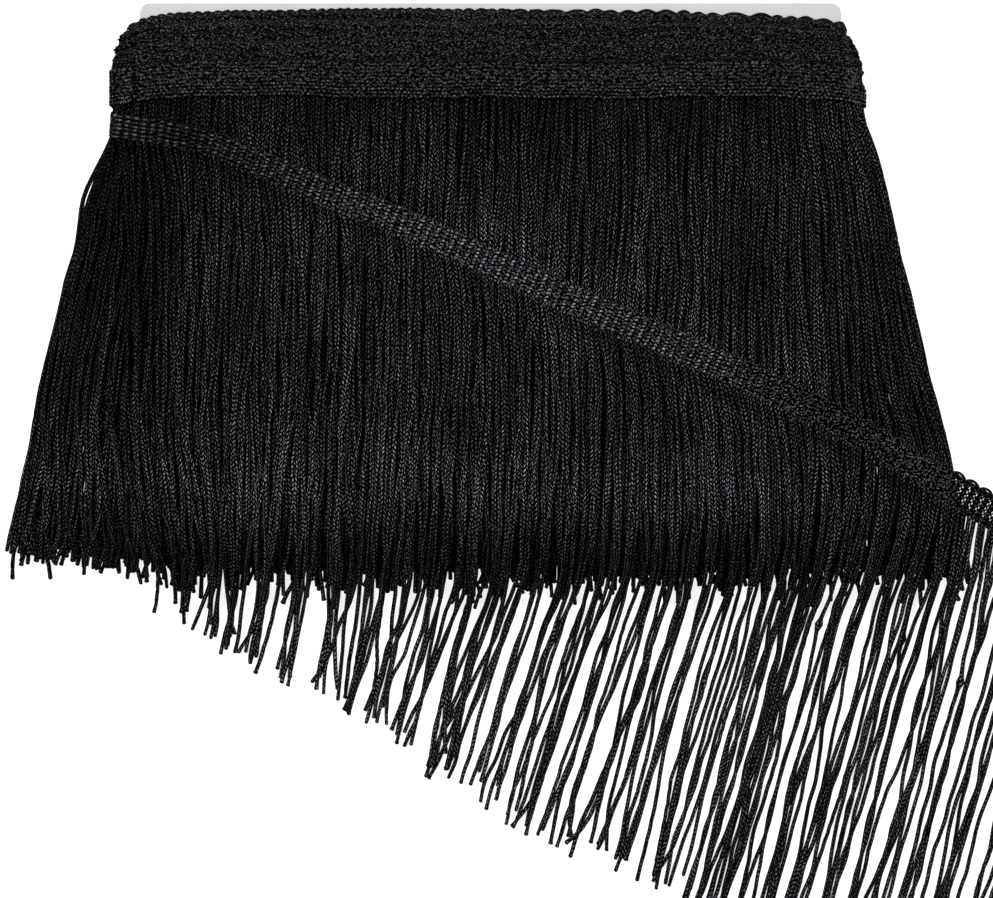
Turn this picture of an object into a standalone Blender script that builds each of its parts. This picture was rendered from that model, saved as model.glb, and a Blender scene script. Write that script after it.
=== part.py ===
"""Tassel fringe trim: a cord fringe on a woven heading, wound flat round a card.

The package lies on its back on a level surface, face up (+Z).  +X runs along the card and
+Y points from the fringe's tips to the heading.  The loose end comes round the left end of
the package, runs down across its face and lies on the surface at the right.  Its fringe
hangs over the package and lies on the surface below it.

Points are laid out from the middle of the card's width (x) and a line across the card a
little below its top edge (y).  At the end everything is moved so that the origin is the
middle of the footprint.
All sizes are in metres.
"""

import math

import bmesh
import bpy

# ---------------------------------------------------------------- driving dimensions
GAP = 0.0003                 # between pieces that touch

CARD_WIDTH = 0.204
CARD_HEIGHT = 0.1480
CARD_THICKNESS = 0.0016
CARD_TOP = 0.0044            # how far the card reaches above the line that y starts from
CARD_CORNER = 0.003
CORNER_STEPS = 4

HEADING_WIDTH = 0.010
HEADING_THICKNESS = 0.0012
TURNS = 6
TURN_THICKNESS = 0.00135     # heading plus the air between two turns
TURN_STEP = 0.0031           # each turn lies this much lower than the one before
HEADING_TOP = 0.0025         # top edge of the first turn
END_STEPS = 10               # facets round each end of the package

STACK = TURNS * TURN_THICKNESS
SLOT = CARD_THICKNESS + 2 * GAP
PACKAGE_THICKNESS = SLOT + 2 * STACK
CARD_LEVEL = PACKAGE_THICKNESS / 2
RING_HALF = CARD_WIDTH / 2 + GAP            # the turns' inner half width
PACKAGE_HALF = RING_HALF + STACK
HEADING_BOTTOM = HEADING_TOP - (TURNS - 1) * TURN_STEP - HEADING_WIDTH

# The wound fringe at sections down its length: it flares past both ends of the card
# and thins towards its tips.
FRINGE_SECTIONS = [
    # y,      left,    right,   height
    (-0.0233, -0.1104, 0.1104, 0.0184),
    (-0.0370, -0.1108, 0.1128, 0.0184),
    (-0.0520, -0.1170, 0.1158, 0.0183),
    (-0.0720, -0.1230, 0.1198, 0.0181),
    (-0.0950, -0.1296, 0.1252, 0.0178),
    (-0.1200, -0.1338, 0.1312, 0.0172),
    (-0.1460, -0.1392, 0.1368, 0.0160),
    (-0.1705, -0.1430, 0.1415, 0.0146),
]
FRINGE_EDGE = 0.003          # thickness at the outer edges of the flare
FRINGE_TEETH = 36
FRINGE_NOTCH = 0.1470        # depth of the notches between the tips, below that line
FRINGE_TIP = 0.1620          # mean depth of the tips
FRINGE_RAGGED = 0.0060       # how much the tips differ
FRINGE_NOTCH_LIP = 0.0015    # the notches' depth below the last full section

# The loose heading's centre line across the face, with the lean of the cords below it
# (degrees from straight down, towards the left).
BAND_SECTIONS = [
    # x,      y,       lean
    (-0.1085, -0.0300, 1.0),
    (-0.0816, -0.0356, 3.0),
    (-0.0506, -0.0492, 6.0),
    (-0.0216, -0.0610, 8.0),
    (0.0071, -0.0742, 10.0),
    (0.0538, -0.0951, 13.0),
    (0.0825, -0.1081, 15.0),
    (0.1115, -0.1224, 16.5),
    (0.1391, -0.1395, 17.5),
    (0.1640, -0.1535, 18.5),
    (0.1855, -0.1655, 19.0),
]
BAND_STEPS = 4               # facets between two sections
BAND_REST = 0.0005           # clearance over the wound fringe
TURN_IN_STEPS = 8            # facets where the loose end comes round the left end
TURN_IN_LEVEL = 0.0060       # height at which it leaves the back turns
TURN_IN_BULGE = 0.30         # how far it stands out there, as a share of its rise

CORD_LENGTH = 0.1390
COMB_TEETH = 36
COMB_THICKNESS = 0.0020
COMB_ROOT = 0.0050           # depth of the part where the cords still lie side by side
COMB_GAP = 0.34              # share of each tooth's pitch that is open at the tips
COMB_ROOT_GAP = 0.10         # the same just below the root
COMB_ROWS = 13
COMB_START = 0.012           # distance of the first tooth from the band's front shoulder
COMB_REST = 0.0006           # clearance over the wound fringe
EDGE_REACH = 0.0040          # the loose end clears the package's edges by about half of this
COMB_SWING = 2.2             # degrees by which the teeth stray from side to side
COMB_UNEVEN = 0.03           # share by which their lengths differ
COMB_CURL = 5.0              # degrees by which a cord leans less at its root than at its tip
COMB_FALL = 0.75             # steepest slope of the comb where it comes off the package

BLACK = (0.012, 0.011, 0.013)
BOARD = (0.72, 0.72, 0.70)


# ---------------------------------------------------------------- general helpers
def clear_scene():
    for item in list(bpy.data.objects):
        bpy.data.objects.remove(item, do_unlink=True)


def material(name, colour, roughness):
    finish = bpy.data.materials.new(name)
    finish.use_nodes = True
    shader = finish.node_tree.nodes["Principled BSDF"]
    shader.inputs["Base Color"].default_value = (*colour, 1.0)
    shader.inputs["Roughness"].default_value = roughness
    shader.inputs["Metallic"].default_value = 0.0
    return finish


def lerp(a, b, t):
    return a + (b - a) * t


def read_table(rows, column, key):
    """Value of a column where the first column equals key, straight between rows."""
    rising = sorted(rows)
    if key <= rising[0][0]:
        return rising[0][column]
    for low, high in zip(rising, rising[1:]):
        if key <= high[0]:
            return lerp(low[column], high[column], (key - low[0]) / (high[0] - low[0]))
    return rising[-1][column]


def finish_object(name, mesh_bm, finish, flat=False):
    bmesh.ops.remove_doubles(mesh_bm, verts=mesh_bm.verts, dist=1e-6)
    if flat:
        bmesh.ops.dissolve_limit(mesh_bm, angle_limit=math.radians(0.05),
                                 verts=mesh_bm.verts, edges=mesh_bm.edges)
    bmesh.ops.recalc_face_normals(mesh_bm, faces=mesh_bm.faces)
    mesh = bpy.data.meshes.new(name)
    mesh_bm.to_mesh(mesh)
    mesh_bm.free()
    mesh.materials.append(finish)
    item = bpy.data.objects.new(name, mesh)
    bpy.context.collection.objects.link(item)
    return item


def plate(upper, under, present):
    """Closed plate between two grids of points; present(row, column) says which cells it has."""
    rows = len(upper) - 1
    columns = len(upper[0]) - 1
    solid = bmesh.new()
    made = {}

    def corner(side, row, column):
        key = (side, row, column)
        if key not in made:
            grid = upper if side else under
            made[key] = solid.verts.new(grid[row][column])
        return made[key]

    def has(row, column):
        return 0 <= row < rows and 0 <= column < columns and present(row, column)

    for row in range(rows):
        for column in range(columns):
            if not has(row, column):
                continue
            ring = [(row, column), (row, column + 1), (row + 1, column + 1), (row + 1, column)]
            solid.faces.new([corner(True, *spot) for spot in ring])
            solid.faces.new([corner(False, *spot) for spot in reversed(ring)])
            beyond = [(row - 1, column), (row, column + 1), (row + 1, column), (row, column - 1)]
            for side, neighbour in enumerate(beyond):
                if not has(*neighbour):
                    a = ring[side]
                    b = ring[(side + 1) % 4]
                    solid.faces.new([corner(True, *b), corner(True, *a),
                                     corner(False, *a), corner(False, *b)])
    return solid


# ---------------------------------------------------------------- card
def make_card(finish):
    half = CARD_WIDTH / 2
    top = CARD_TOP
    bottom = CARD_TOP - CARD_HEIGHT
    corners = [(half, top, 0), (-half, top, 90), (-half, bottom, 180), (half, bottom, 270)]
    outline = []
    for x, y, start in corners:
        cx = x - math.copysign(CARD_CORNER, x)
        cy = y - CARD_CORNER if y == top else y + CARD_CORNER
        for step in range(CORNER_STEPS + 1):
            angle = math.radians(start + 90 * step / CORNER_STEPS)
            outline.append((cx + CARD_CORNER * math.cos(angle), cy + CARD_CORNER * math.sin(angle)))
    solid = bmesh.new()
    low = CARD_LEVEL - CARD_THICKNESS / 2
    face = solid.faces.new([solid.verts.new((x, y, low)) for x, y in outline])
    grown = bmesh.ops.extrude_face_region(solid, geom=[face])
    lifted = [part for part in grown["geom"] if isinstance(part, bmesh.types.BMVert)]
    bmesh.ops.translate(solid, verts=lifted, vec=(0, 0, CARD_THICKNESS))
    return finish_object("card", solid, finish)


# ---------------------------------------------------------------- wound heading
def winding_path():
    """Points round the card with the direction that faces away from it, in x and z."""
    path = []
    for side in (1, -1):
        for step in range(END_STEPS + 1):
            angle = math.radians(-90 + 180 * step / END_STEPS)
            path.append((side * RING_HALF, side * math.cos(angle), side * math.sin(angle)))
    return path


def make_wound_heading(finish):
    """The turns' stepped section, carried once round the card."""
    section = [(0.0, HEADING_BOTTOM), (0.0, HEADING_TOP)]
    for turn in range(TURNS):
        reach = (turn + 1) * TURN_THICKNESS
        section.append((reach, HEADING_TOP - turn * TURN_STEP))
        if turn < TURNS - 1:
            section.append((reach, HEADING_TOP - (turn + 1) * TURN_STEP))
    section.append((STACK, HEADING_BOTTOM))
    solid = bmesh.new()
    loops = []
    for x, out_x, out_z in winding_path():
        loop = []
        for reach, y in section:
            across = reach if abs(out_x) > 1e-9 else 0.0
            loop.append(solid.verts.new((x + out_x * across, y,
                                         CARD_LEVEL + out_z * (SLOT / 2 + reach))))
        loops.append(loop)
    for loop, after in zip(loops, loops[1:] + loops[:1]):
        for index in range(len(section)):
            nearby = (index + 1) % len(section)
            solid.faces.new([loop[index], loop[nearby], after[nearby], after[index]])
    return finish_object("wound_heading", solid, finish)


# ---------------------------------------------------------------- wound fringe
def fringe_height(x, y):
    """Height of the wound fringe's face over the surface, and nothing past its edges."""
    if y > FRINGE_SECTIONS[0][0] or y < FRINGE_SECTIONS[-1][0]:
        return 0.0
    left = read_table(FRINGE_SECTIONS, 1, y)
    right = read_table(FRINGE_SECTIONS, 2, y)
    height = read_table(FRINGE_SECTIONS, 3, y)
    if x < left or x > right:
        return 0.0
    edge = right if x > 0 else -left
    past = max(0.0, abs(x) - CARD_WIDTH / 2 - GAP) / (edge - CARD_WIDTH / 2 - GAP)
    return FRINGE_EDGE + (height - FRINGE_EDGE) * (1 - past * past)


def tip_depth(index):
    """Uneven tips: three waves that never fall in step."""
    uneven = math.sin(1.7 * index) + 0.6 * math.sin(4.3 * index + 1.0) + 0.4 * math.sin(0.45 * index)
    return FRINGE_TIP + FRINGE_RAGGED * uneven / 2.0


def make_wound_fringe(finish):
    columns = 2 * FRINGE_TEETH
    upper = []
    under = []
    levels = [row[0] for row in FRINGE_SECTIONS[:-2]] + [-FRINGE_NOTCH, None]
    for level in levels:
        top_row = []
        low_row = []
        for column in range(columns + 1):
            share = column / columns
            y = level
            if level is None:
                y = -tip_depth(column) if column % 2 else -FRINGE_NOTCH - FRINGE_NOTCH_LIP
            x = lerp(read_table(FRINGE_SECTIONS, 1, y), read_table(FRINGE_SECTIONS, 2, y), share)
            top_row.append((x, y, fringe_height(x, y)))
            low_row.append((x, y, 0.0))
        upper.append(top_row)
        under.append(low_row)
    item = finish_object("wound_fringe", plate(upper, under, lambda row, column: True), finish, flat=True)

    slot_foot = CARD_TOP - CARD_HEIGHT - GAP
    slot = bmesh.new()
    bmesh.ops.create_cube(slot, size=1.0)
    bmesh.ops.scale(slot, vec=(2 * RING_HALF, -slot_foot, SLOT), verts=slot.verts)
    bmesh.ops.translate(slot, vec=(0.0, slot_foot / 2, CARD_LEVEL), verts=slot.verts)
    cutter = finish_object("card_slot_cutter", slot, finish)
    cutter.hide_render = True
    cutter.display_type = "WIRE"
    cut = item.modifiers.new("card slot", "BOOLEAN")
    cut.operation = "DIFFERENCE"
    cut.solver = "EXACT"
    cut.object = cutter
    return item, cutter


# ---------------------------------------------------------------- loose end
def rest_height(x, y, clearance):
    """Lowest height at which something laid at (x, y) clears the wound fringe near it."""
    offsets = [EDGE_REACH * share for share in (-1.0, -0.5, 0.0, 0.5, 1.0)]
    highest = max(fringe_height(x + dx, y + dy) for dx in offsets for dy in offsets)
    return highest + clearance if highest > 0 else 0.0


def band_line():
    """Stations along the loose heading on the face: x, y, direction, lean, distance."""
    stations = []
    walked = 0.0
    rows = BAND_SECTIONS
    for index in range(len(rows) - 1):
        before = rows[max(index - 1, 0)]
        here = rows[index]
        there = rows[index + 1]
        after = rows[min(index + 2, len(rows) - 1)]
        last = index == len(rows) - 2
        for step in range(BAND_STEPS + (1 if last else 0)):
            t = step / BAND_STEPS
            x, y = (0.5 * (2 * here[k] + (there[k] - before[k]) * t
                           + (2 * before[k] - 5 * here[k] + 4 * there[k] - after[k]) * t * t
                           + (3 * here[k] - before[k] - 3 * there[k] + after[k]) * t ** 3)
                    for k in (0, 1))
            if stations:
                walked += math.hypot(x - stations[-1][0], y - stations[-1][1])
            stations.append([x, y, 0.0, lerp(here[2], there[2], t), walked])
    for index, station in enumerate(stations):
        before = stations[max(index - 1, 0)]
        after = stations[min(index + 1, len(stations) - 1)]
        station[2] = math.atan2(after[1] - before[1], after[0] - before[0])
    return stations


def band_level(x, y, direction):
    """Underside of the heading: flat across its width, clear of all that lies under it."""
    across = (-math.sin(direction), math.cos(direction))
    heights = []
    for share in (-0.5, 0.0, 0.5):
        heights.append(rest_height(x + across[0] * HEADING_WIDTH * share,
                                   y + across[1] * HEADING_WIDTH * share, BAND_REST))
    return max(heights)


def make_loose_heading(finish):
    """A strip that comes round the left end of the package and runs down across its face."""
    stations = band_line()
    start = stations[0]
    face_level = band_level(start[0], start[1], start[2])
    half = HEADING_WIDTH / 2
    rise = face_level - TURN_IN_LEVEL
    rows = []
    for step in range(TURN_IN_STEPS):
        angle = math.radians(90 * step / TURN_IN_STEPS)
        x = start[0] - rise * TURN_IN_BULGE * math.cos(angle)
        rows.append((x, start[1], TURN_IN_LEVEL + rise * math.sin(angle), start[2], angle))
    for x, y, direction, lean, walked in stations:
        rows.append((x, y, band_level(x, y, direction), direction, math.radians(90)))
    upper = []
    under = []
    for x, y, level, direction, turn in rows:
        across = (-math.sin(direction) * half, math.cos(direction) * half)
        out = (-math.cos(turn) * HEADING_THICKNESS, math.sin(turn) * HEADING_THICKNESS)
        under.append([(x + side * across[0], y + side * across[1], level) for side in (1, -1)])
        upper.append([(x + side * across[0] + out[0], y + side * across[1], level + out[1])
                      for side in (1, -1)])
    return finish_object("loose_heading", plate(upper, under, lambda row, column: True), finish)


def station_at(stations, distance):
    for before, after in zip(stations, stations[1:]):
        if distance <= after[4]:
            share = (distance - before[4]) / (after[4] - before[4])
            return [lerp(a, b, share) for a, b in zip(before, after)]
    return list(stations[-1])


def make_loose_fringe(finish):
    """One comb along the loose heading's lower edge; each tooth is a bunch of cords."""
    stations = band_line()
    length = stations[-1][4]
    pitch = (length - COMB_START) / COMB_TEETH
    upper = []
    under = []
    depths = [0.0] + [lerp(COMB_ROOT, CORD_LENGTH, row / COMB_ROWS) for row in range(COMB_ROWS + 1)]
    fall = COMB_FALL * CORD_LENGTH / COMB_ROWS
    for depth in depths:
        share = depth / CORD_LENGTH
        tooth_half = 0.5 * (1 - lerp(COMB_ROOT_GAP, COMB_GAP, share))
        top_row = []
        low_row = []
        for tooth in range(COMB_TEETH):
            middle = COMB_START + (tooth + 0.5) * pitch
            for side in (-1, 1):
                along = middle + side * tooth_half * pitch
                x, y, direction, lean, walked = station_at(stations, along)
                root_x = x + math.sin(direction) * (HEADING_WIDTH / 2 + GAP)
                root_y = y - math.cos(direction) * (HEADING_WIDTH / 2 + GAP)
                swing = COMB_SWING * math.sin(2.4 * tooth) * share
                angle = math.radians(lean + swing - COMB_CURL * (1 - share))
                long = depth * (1 + COMB_UNEVEN * math.sin(5.1 * tooth + side))
                point_x = root_x - long * math.sin(angle)
                point_y = root_y - long * math.cos(angle)
                level = rest_height(point_x, point_y, COMB_REST)
                if depth == 0.0:
                    level = band_level(x, y, direction)
                else:
                    level = max(level, under[-1][len(low_row)][2] - fall)
                low_row.append((point_x, point_y, level))
                top_row.append((point_x, point_y, level + COMB_THICKNESS))
        upper.append(top_row)
        under.append(low_row)

    def present(row, column):
        return row == 0 or column % 2 == 0

    return finish_object("loose_fringe", plate(upper, under, present), finish)


# ---------------------------------------------------------------- assembly
def settle_origin(items, followers):
    """Origin at the middle of the footprint, on the surface the trim lies on."""
    corners = [vertex.co for item in items for vertex in item.data.vertices]
    middle_x = (min(c.x for c in corners) + max(c.x for c in corners)) / 2
    middle_y = (min(c.y for c in corners) + max(c.y for c in corners)) / 2
    for item in items + followers:
        for vertex in item.data.vertices:
            vertex.co.x -= middle_x
            vertex.co.y -= middle_y


def main():
    clear_scene()
    cord = material("black cord", BLACK, 0.62)
    weave = material("black heading", BLACK, 0.70)
    board = material("white board", BOARD, 0.80)
    card = make_card(board)
    wound_heading = make_wound_heading(weave)
    wound_fringe, cutter = make_wound_fringe(cord)
    loose_heading = make_loose_heading(weave)
    loose_fringe = make_loose_fringe(cord)
    settle_origin([card, wound_heading, wound_fringe, loose_heading, loose_fringe], [cutter])


main()
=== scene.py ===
"""Looks of a tassel fringe trim: a black cord fringe on a narrow openwork heading, wound flat
round a white card, with its loose end laid slantwise across the face.

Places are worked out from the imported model.  Lengths are laid out from an origin in the middle of
the card's width, a little below its top edge: x runs across, y up the card and z up from the
table, and a depth is a distance down the card from the origin.  PLACE moves them into the model.
"""
import math

import bpy
import numpy as np
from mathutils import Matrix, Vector


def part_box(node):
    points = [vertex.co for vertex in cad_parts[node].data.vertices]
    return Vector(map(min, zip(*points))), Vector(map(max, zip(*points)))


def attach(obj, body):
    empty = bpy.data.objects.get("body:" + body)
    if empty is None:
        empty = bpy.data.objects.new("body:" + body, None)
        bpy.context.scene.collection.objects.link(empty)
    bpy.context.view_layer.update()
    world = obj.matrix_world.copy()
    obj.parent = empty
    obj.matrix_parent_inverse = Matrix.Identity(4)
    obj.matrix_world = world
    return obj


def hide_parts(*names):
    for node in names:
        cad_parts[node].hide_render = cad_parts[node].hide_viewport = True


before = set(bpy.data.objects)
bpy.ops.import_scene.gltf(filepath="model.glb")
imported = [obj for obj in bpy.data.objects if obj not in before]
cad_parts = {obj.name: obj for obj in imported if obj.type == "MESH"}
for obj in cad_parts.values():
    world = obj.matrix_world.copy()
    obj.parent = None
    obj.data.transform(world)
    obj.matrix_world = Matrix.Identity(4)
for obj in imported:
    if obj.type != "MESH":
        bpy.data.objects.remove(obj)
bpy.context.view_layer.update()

# ---------------------------------------------------------------- sizes (all in metres)
CORD_RADIUS = 0.00069
CORD_GAUGE = (CORD_RADIUS, 0.00130)    # a cord's radius and one loop of its chainette
YARN_GAUGE = (0.00045, 0.0012)         # the same for the yarns of the selvedges
HEADING_WIDTH = 0.010
HEADING_THICKNESS = 0.0008
TURNS = 6
TURN_THICKNESS = 0.00135
TURN_STEP = 0.0031           # each turn lies this much lower than the one before
CARD_TOP = 0.0052            # the card's top edge above the origin
HEADING_TOP = 0.0025         # the first turn's top edge above the origin

CARD_LOW, CARD_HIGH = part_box("card")
RING_LOW, RING_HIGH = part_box("wound_heading")
PLACE = np.array([(CARD_LOW.x + CARD_HIGH.x) / 2, CARD_HIGH.y - CARD_TOP, 0.0])
CARD_LEVEL = (CARD_LOW.z + CARD_HIGH.z) / 2
STACK = TURNS * TURN_THICKNESS
RING_HALF = (RING_HIGH.x - RING_LOW.x) / 2 - STACK
SLOT_HALF = (RING_HIGH.z - RING_LOW.z) / 2 - STACK
HEADING_FOOT = (TURNS - 1) * TURN_STEP + HEADING_WIDTH - HEADING_TOP
CARD_FOOT = PLACE[1] - CARD_LOW.y

TURN_MEASURES = 4000         # steps in which a turn, and the loose heading, are measured out
LOOSE_MEASURES = 2000

# Where each set of random draws begins, so that every run gives the same fringe.  Turns,
# layers and ends count on from theirs.
WOUND_HEADING_SEED = 41
YARN_WANDER_SEED = 620
YARN_ROUGH_SEED = 600
WOUND_SEED = 100
WOUND_CLUMP_SEED = 160
END_SEED = 150
LOOSE_HEADING_SEED = 77
LOOSE_SEED = 9
LOOSE_CLUMP_SEED = 21

# ---------------------------------------------------------------- sizes of the wound heading
# Round the card's ends the turns are squeezed flatter than half circles, lie a little further
# out on the left, sag, and bulge just under their top edges.
END_SQUEEZE = 0.87
END_SHIFT = -0.0008
END_SAG = 0.0014             # how much lower the turns hang round both ends
END_SAG_X = (0.096, 0.109)
BULGE_LEAST = 0.3            # share of the bulge right at the top edge
BULGE_RISES = (-0.0002, 0.0014)        # drops over which the bulge grows full, and fades again
BULGE_FALLS = (0.0014, 0.0060)
END_BULGE = [
    # left,  right
    (0.0010, 0.0003),
    (0.0024, 0.0010),
    (0.0024, 0.0014),
    (0.0015, 0.0006),
    (0.0006, 0.0000),
    (0.0000, -0.0018),
]
EDGE_BOW = [
    # x,     rise of the first turn's top edge
    (-0.103, -0.0026),
    (-0.092, -0.0012),
    (-0.078, -0.0006),
    (-0.040, 0.0002),
    (0.000, 0.0002),
    (0.032, -0.0006),
    (0.055, -0.0009),
    (0.078, -0.0017),
    (0.098, -0.0033),
    (0.103, -0.0038),
]
EDGE_WAVER = [
    # height, waves in a turn, shift from turn to turn
    (0.00028, 3, 1.3),
    (0.00026, 7, 2.1),
    (0.00018, 17, 0.7),
]
FIRST_WAVER = 0.4            # the first turn, held by the card, wavers less
TURN_POINTS = 240
TURN_SECTION = [
    # drop from the top edge, height in half thicknesses
    (HEADING_WIDTH - 0.0003, -1.0),
    (HEADING_WIDTH, 0.5),
    (HEADING_WIDTH - 0.0006, 1.0),
    (HEADING_WIDTH / 2, 1.0),
    (0.0030, 1.0),
    (0.0014, 1.0),
    (0.0006, 1.0),
    (0.0000, 0.4),
    (0.0000, -1.0),
]

ROUND_END = 0.6              # outward directions past which a place is round an end, or behind
BEHIND = -0.5
BACK_PITCH = 1.8             # how much wider apart the stitches are on the back

# Each stitch's brightness is a highlight painted into its colour, a painted sheen.
# Of the last turn the whole face shows.  Its stitches turn even in the lower rows.
# Sizes of stitches are half a length, half a width and half a thickness.
STITCH_HALF = 0.00028
STITCH_UNEVEN = (0.86, 1.14)
FACE_DULLER = 1.4            # powers that weaken the painted highlight of more of the stitches: front turn, other turns and loose heading
STEP_DULLER = 1.5            # turns and loose heading
COLUMN_DULLER = 1.3
FACE_ROWS = 10
FACE_TOP = 0.0004            # from the top edge to the first row
FACE_ROW = 0.00102           # from one row to the next
FACE_PITCH = 0.00108         # from stitch to stitch
FACE_PITCH_MORE = 0.00028    # how much wider apart they are in the even rows
FACE_PITCH_END = 0.00195     # from stitch to stitch round the ends
FACE_EVEN = (5, 7)           # the rows over which they turn even
FACE_OFF = 0.16              # how far a stitch is off its place, in pitches
FACE_DROP = 0.00012          # and up or down
FACE_SLANT = 32              # slant of the rough rows' stitches, either way, in degrees
FACE_SPREAD = 16
FACE_SIZE = (0.00038, 0.00029, STITCH_HALF)
FACE_END_LONGER = 0.00040    # how much longer the stitches are round the ends, and how much
FACE_END_SINK = 0.00015      # deeper they lie there
FACE_SHEEN = (0.07, 0.29, 0.16)        # painted highlight: weakest, range, and how much stronger in even rows
# Finer stitches lie every way between them.
BETWEEN_OFF = 0.3            # in pitches
BETWEEN_DROP = 0.45          # in rows
BETWEEN_SINK = 0.00008
BETWEEN_END_SINK = 0.00010
BETWEEN_SPREAD = 45
BETWEEN_SIZE = (0.00052, 0.00023, 0.00026)
BETWEEN_SHEEN = (0.05, 0.22)

# Of the other turns only a step shows, with rough stitches.
STEP_ROWS = 5
STEP_TOP = 0.0001
STEP_ROW = 0.00074
STEP_PITCH = 0.00086
STEP_PITCH_END = 0.00130
STEP_DROP = 0.00022
STEP_HIGHEST = 0.0003        # how far above the top edge a stitch may lie
STEP_LIFT = 0.0003
STEP_END_SINK = 0.0002
STEP_SLANT = 30
STEP_SPREAD = 26
STEP_END_EVENER = 0.6        # how much more even the slants are round the ends
STEP_SIZE = (0.00060, 0.00025, STITCH_HALF)
STEP_SHEEN = (0.05, 0.29)

# Two yarns arch along a turn's top edge: pairs of small arches left, and single ones right.
TURN_YARNS = [
    # rise of the arches, drop, lift
    (0.0012, 0.0002, 0.0),
    (0.0008, 0.0008, 0.00025),
]
DOUBLE_YARNS = 2             # the first turns, which show both yarns
YARN_POINTS = 6              # to a scallop
YARN_WANDER = 0.6            # how far the scallops wander, in scallops
YARN_ROUGH = 0.00025
YARN_WANDER_LENGTH = 0.013   # distances over which they wander, and are rough
YARN_ROUGH_LENGTH = 0.003
YARN_ROUGH_APART = 9999      # sets the roughness of one yarn apart from the next one's
YARN_SHIFT = 0.37            # how far each turn's scallops are shifted, in scallops
YARN_ROUND = 0.8             # power that rounds the scallops
SMALL_ARCH = 0.75            # height of the small arches, as a share of a single one's
ARCH_CHANGE = (-0.02, 0.04)  # x over which the arches change
END_ARCH = 0.7               # how much lower they are round the ends
YARN_SHEEN = (0.10, 0.25)

# ---------------------------------------------------------------- sizes of the wound fringe
FLARE = [
    # the fringe's edges and the height of its face at each depth
    # depth, left,   right,  height
    (0.0200, 0.1098, 0.1086, 0.0170),
    (0.0335, 0.1100, 0.1104, 0.0179),
    (0.0417, 0.1138, 0.1138, 0.0182),
    (0.0522, 0.1188, 0.1171, 0.0182),
    (0.0655, 0.1218, 0.1203, 0.0181),
    (0.0753, 0.1254, 0.1226, 0.0180),
    (0.0976, 0.1313, 0.1277, 0.0176),
    (0.1244, 0.1356, 0.1345, 0.0168),
    (0.1521, 0.1424, 0.1396, 0.0158),
    (0.1705, 0.1452, 0.1424, 0.0146),
]
FLARE_ROOT = 0.1085          # half width where the cords leave the heading
FLARE_EDGE = 0.003           # thickness at the outer edges of the flare
FLARE_POWER = (5.5, 8.0)     # how much only the outermost cords flare, on the left and right
FLARE_LOOSE = 0.0005         # how far a cord may stand out past the edge
TIP_DROOP = 0.70             # how far the face sinks at the tips, from a little above the
DROOP_ABOVE = 0.002          # card's foot to a little below the tips
DROOP_BELOW = 0.004

TIPS = [
    # x at the heading, mean depth of the tips there
    (-0.110, 0.1535),
    (-0.104, 0.1562),
    (-0.095, 0.1590),
    (-0.080, 0.1603),
    (-0.060, 0.1615),
    (-0.030, 0.1626),
    (0.010, 0.1632),
    (0.110, 0.1628),
]
TIP_SPREAD = 0.0028
INNER_SPREAD = 0.4           # the innermost cords' share of it
TIP_MOST = 2.1               # how many spreads a tip may be off
TIP_EVEN = 0.45              # share of the spread at the left end
TIP_EVEN_X = (-0.105, -0.065)          # x over which it grows full
LONG_TIPS = (0.07, 0.002, 0.008)       # share of cords that are longer, and by how much
LONG_FROM = 0.4              # gathering from which a layer has such cords
UNDER_SHORTER = 0.3          # how much sooner the under layers end, for each metre they lie under
INNER_SHORTER = 0.0030       # and how much sooner the innermost, coarser ones

WOUND_LAYERS = [
    # name,          face, under,  cords, points, sides, gathering, bulk
    ("front_outer", 1, 0.0000, 128, 74, 6, 1.0, 1.00),
    ("front_second", 1, 0.0011, 124, 54, 5, 0.8, 1.00),
    ("front_third", 1, 0.0023, 146, 42, 5, 0.6, 1.00),
    ("front_inner", 1, 0.0038, 172, 24, 4, 0.0, 1.45),
    ("back_outer", -1, 0.0000, 104, 44, 6, 0.8, 1.00),
    ("back_second", -1, 0.0015, 172, 24, 4, 0.0, 1.45),
]
CORD_LENGTH = 0.150
ROOT_HIDDEN = 0.001          # how far up under the heading the cords begin
ROOT_CROWDING = 0.065        # how much closer the cords lie towards both ends
ROOT_UNEVEN = 0.35           # how unevenly they lie, as a share of the distance between them
ROOT_LEAST = 0.3             # share of the unevenness, and of the waves, that no gathering leaves
WAVES_LEAST = 0.25
UNDER_NARROWER = 0.5         # how much narrower an under layer is, for each metre it lies under
LYING_HIGHER = 0.2           # how much higher than the lowest a cord may lie, in radii
LEFT_LEAN = 0.0022           # how far the cords hang to the left
LEFT_LEAN_DEPTHS = (0.02, 0.10)
HEADING_HOLD = (-0.004, 0.022)         # from the heading's foot down to where its hold ends
WOUND_SWING = (0.0015, 200, 0.009, 0.040)   # sideways, seed, distance across and length
WOUND_WAVES = [
    # sideways, seed, step from cord to cord, length
    (0.00055, 300, 7.3, 0.011),
    (0.0011, 350, 3.7, 0.034),
]
WOUND_LIFT = [
    # outwards, seed, step from cord to cord, length
    (0.00050, 400, 3.1, 0.02),
]
BENT = 0.0011                # spread of the bends near the tips
BENT_MORE = (0.30, -0.0055, 0.0050)    # share of the cords that bend more, and how far
BENT_FROM = (0.87, 1.02)     # shares of a cord's length over which it bends
BENT_INNER = 0.15            # the innermost cords' share of it
HOOKED = (0.45, -0.0034, 0.0030)       # share of the cords that hook at the tip, and how far
HOOKED_FROM = (0.955, 1.0)

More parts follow.
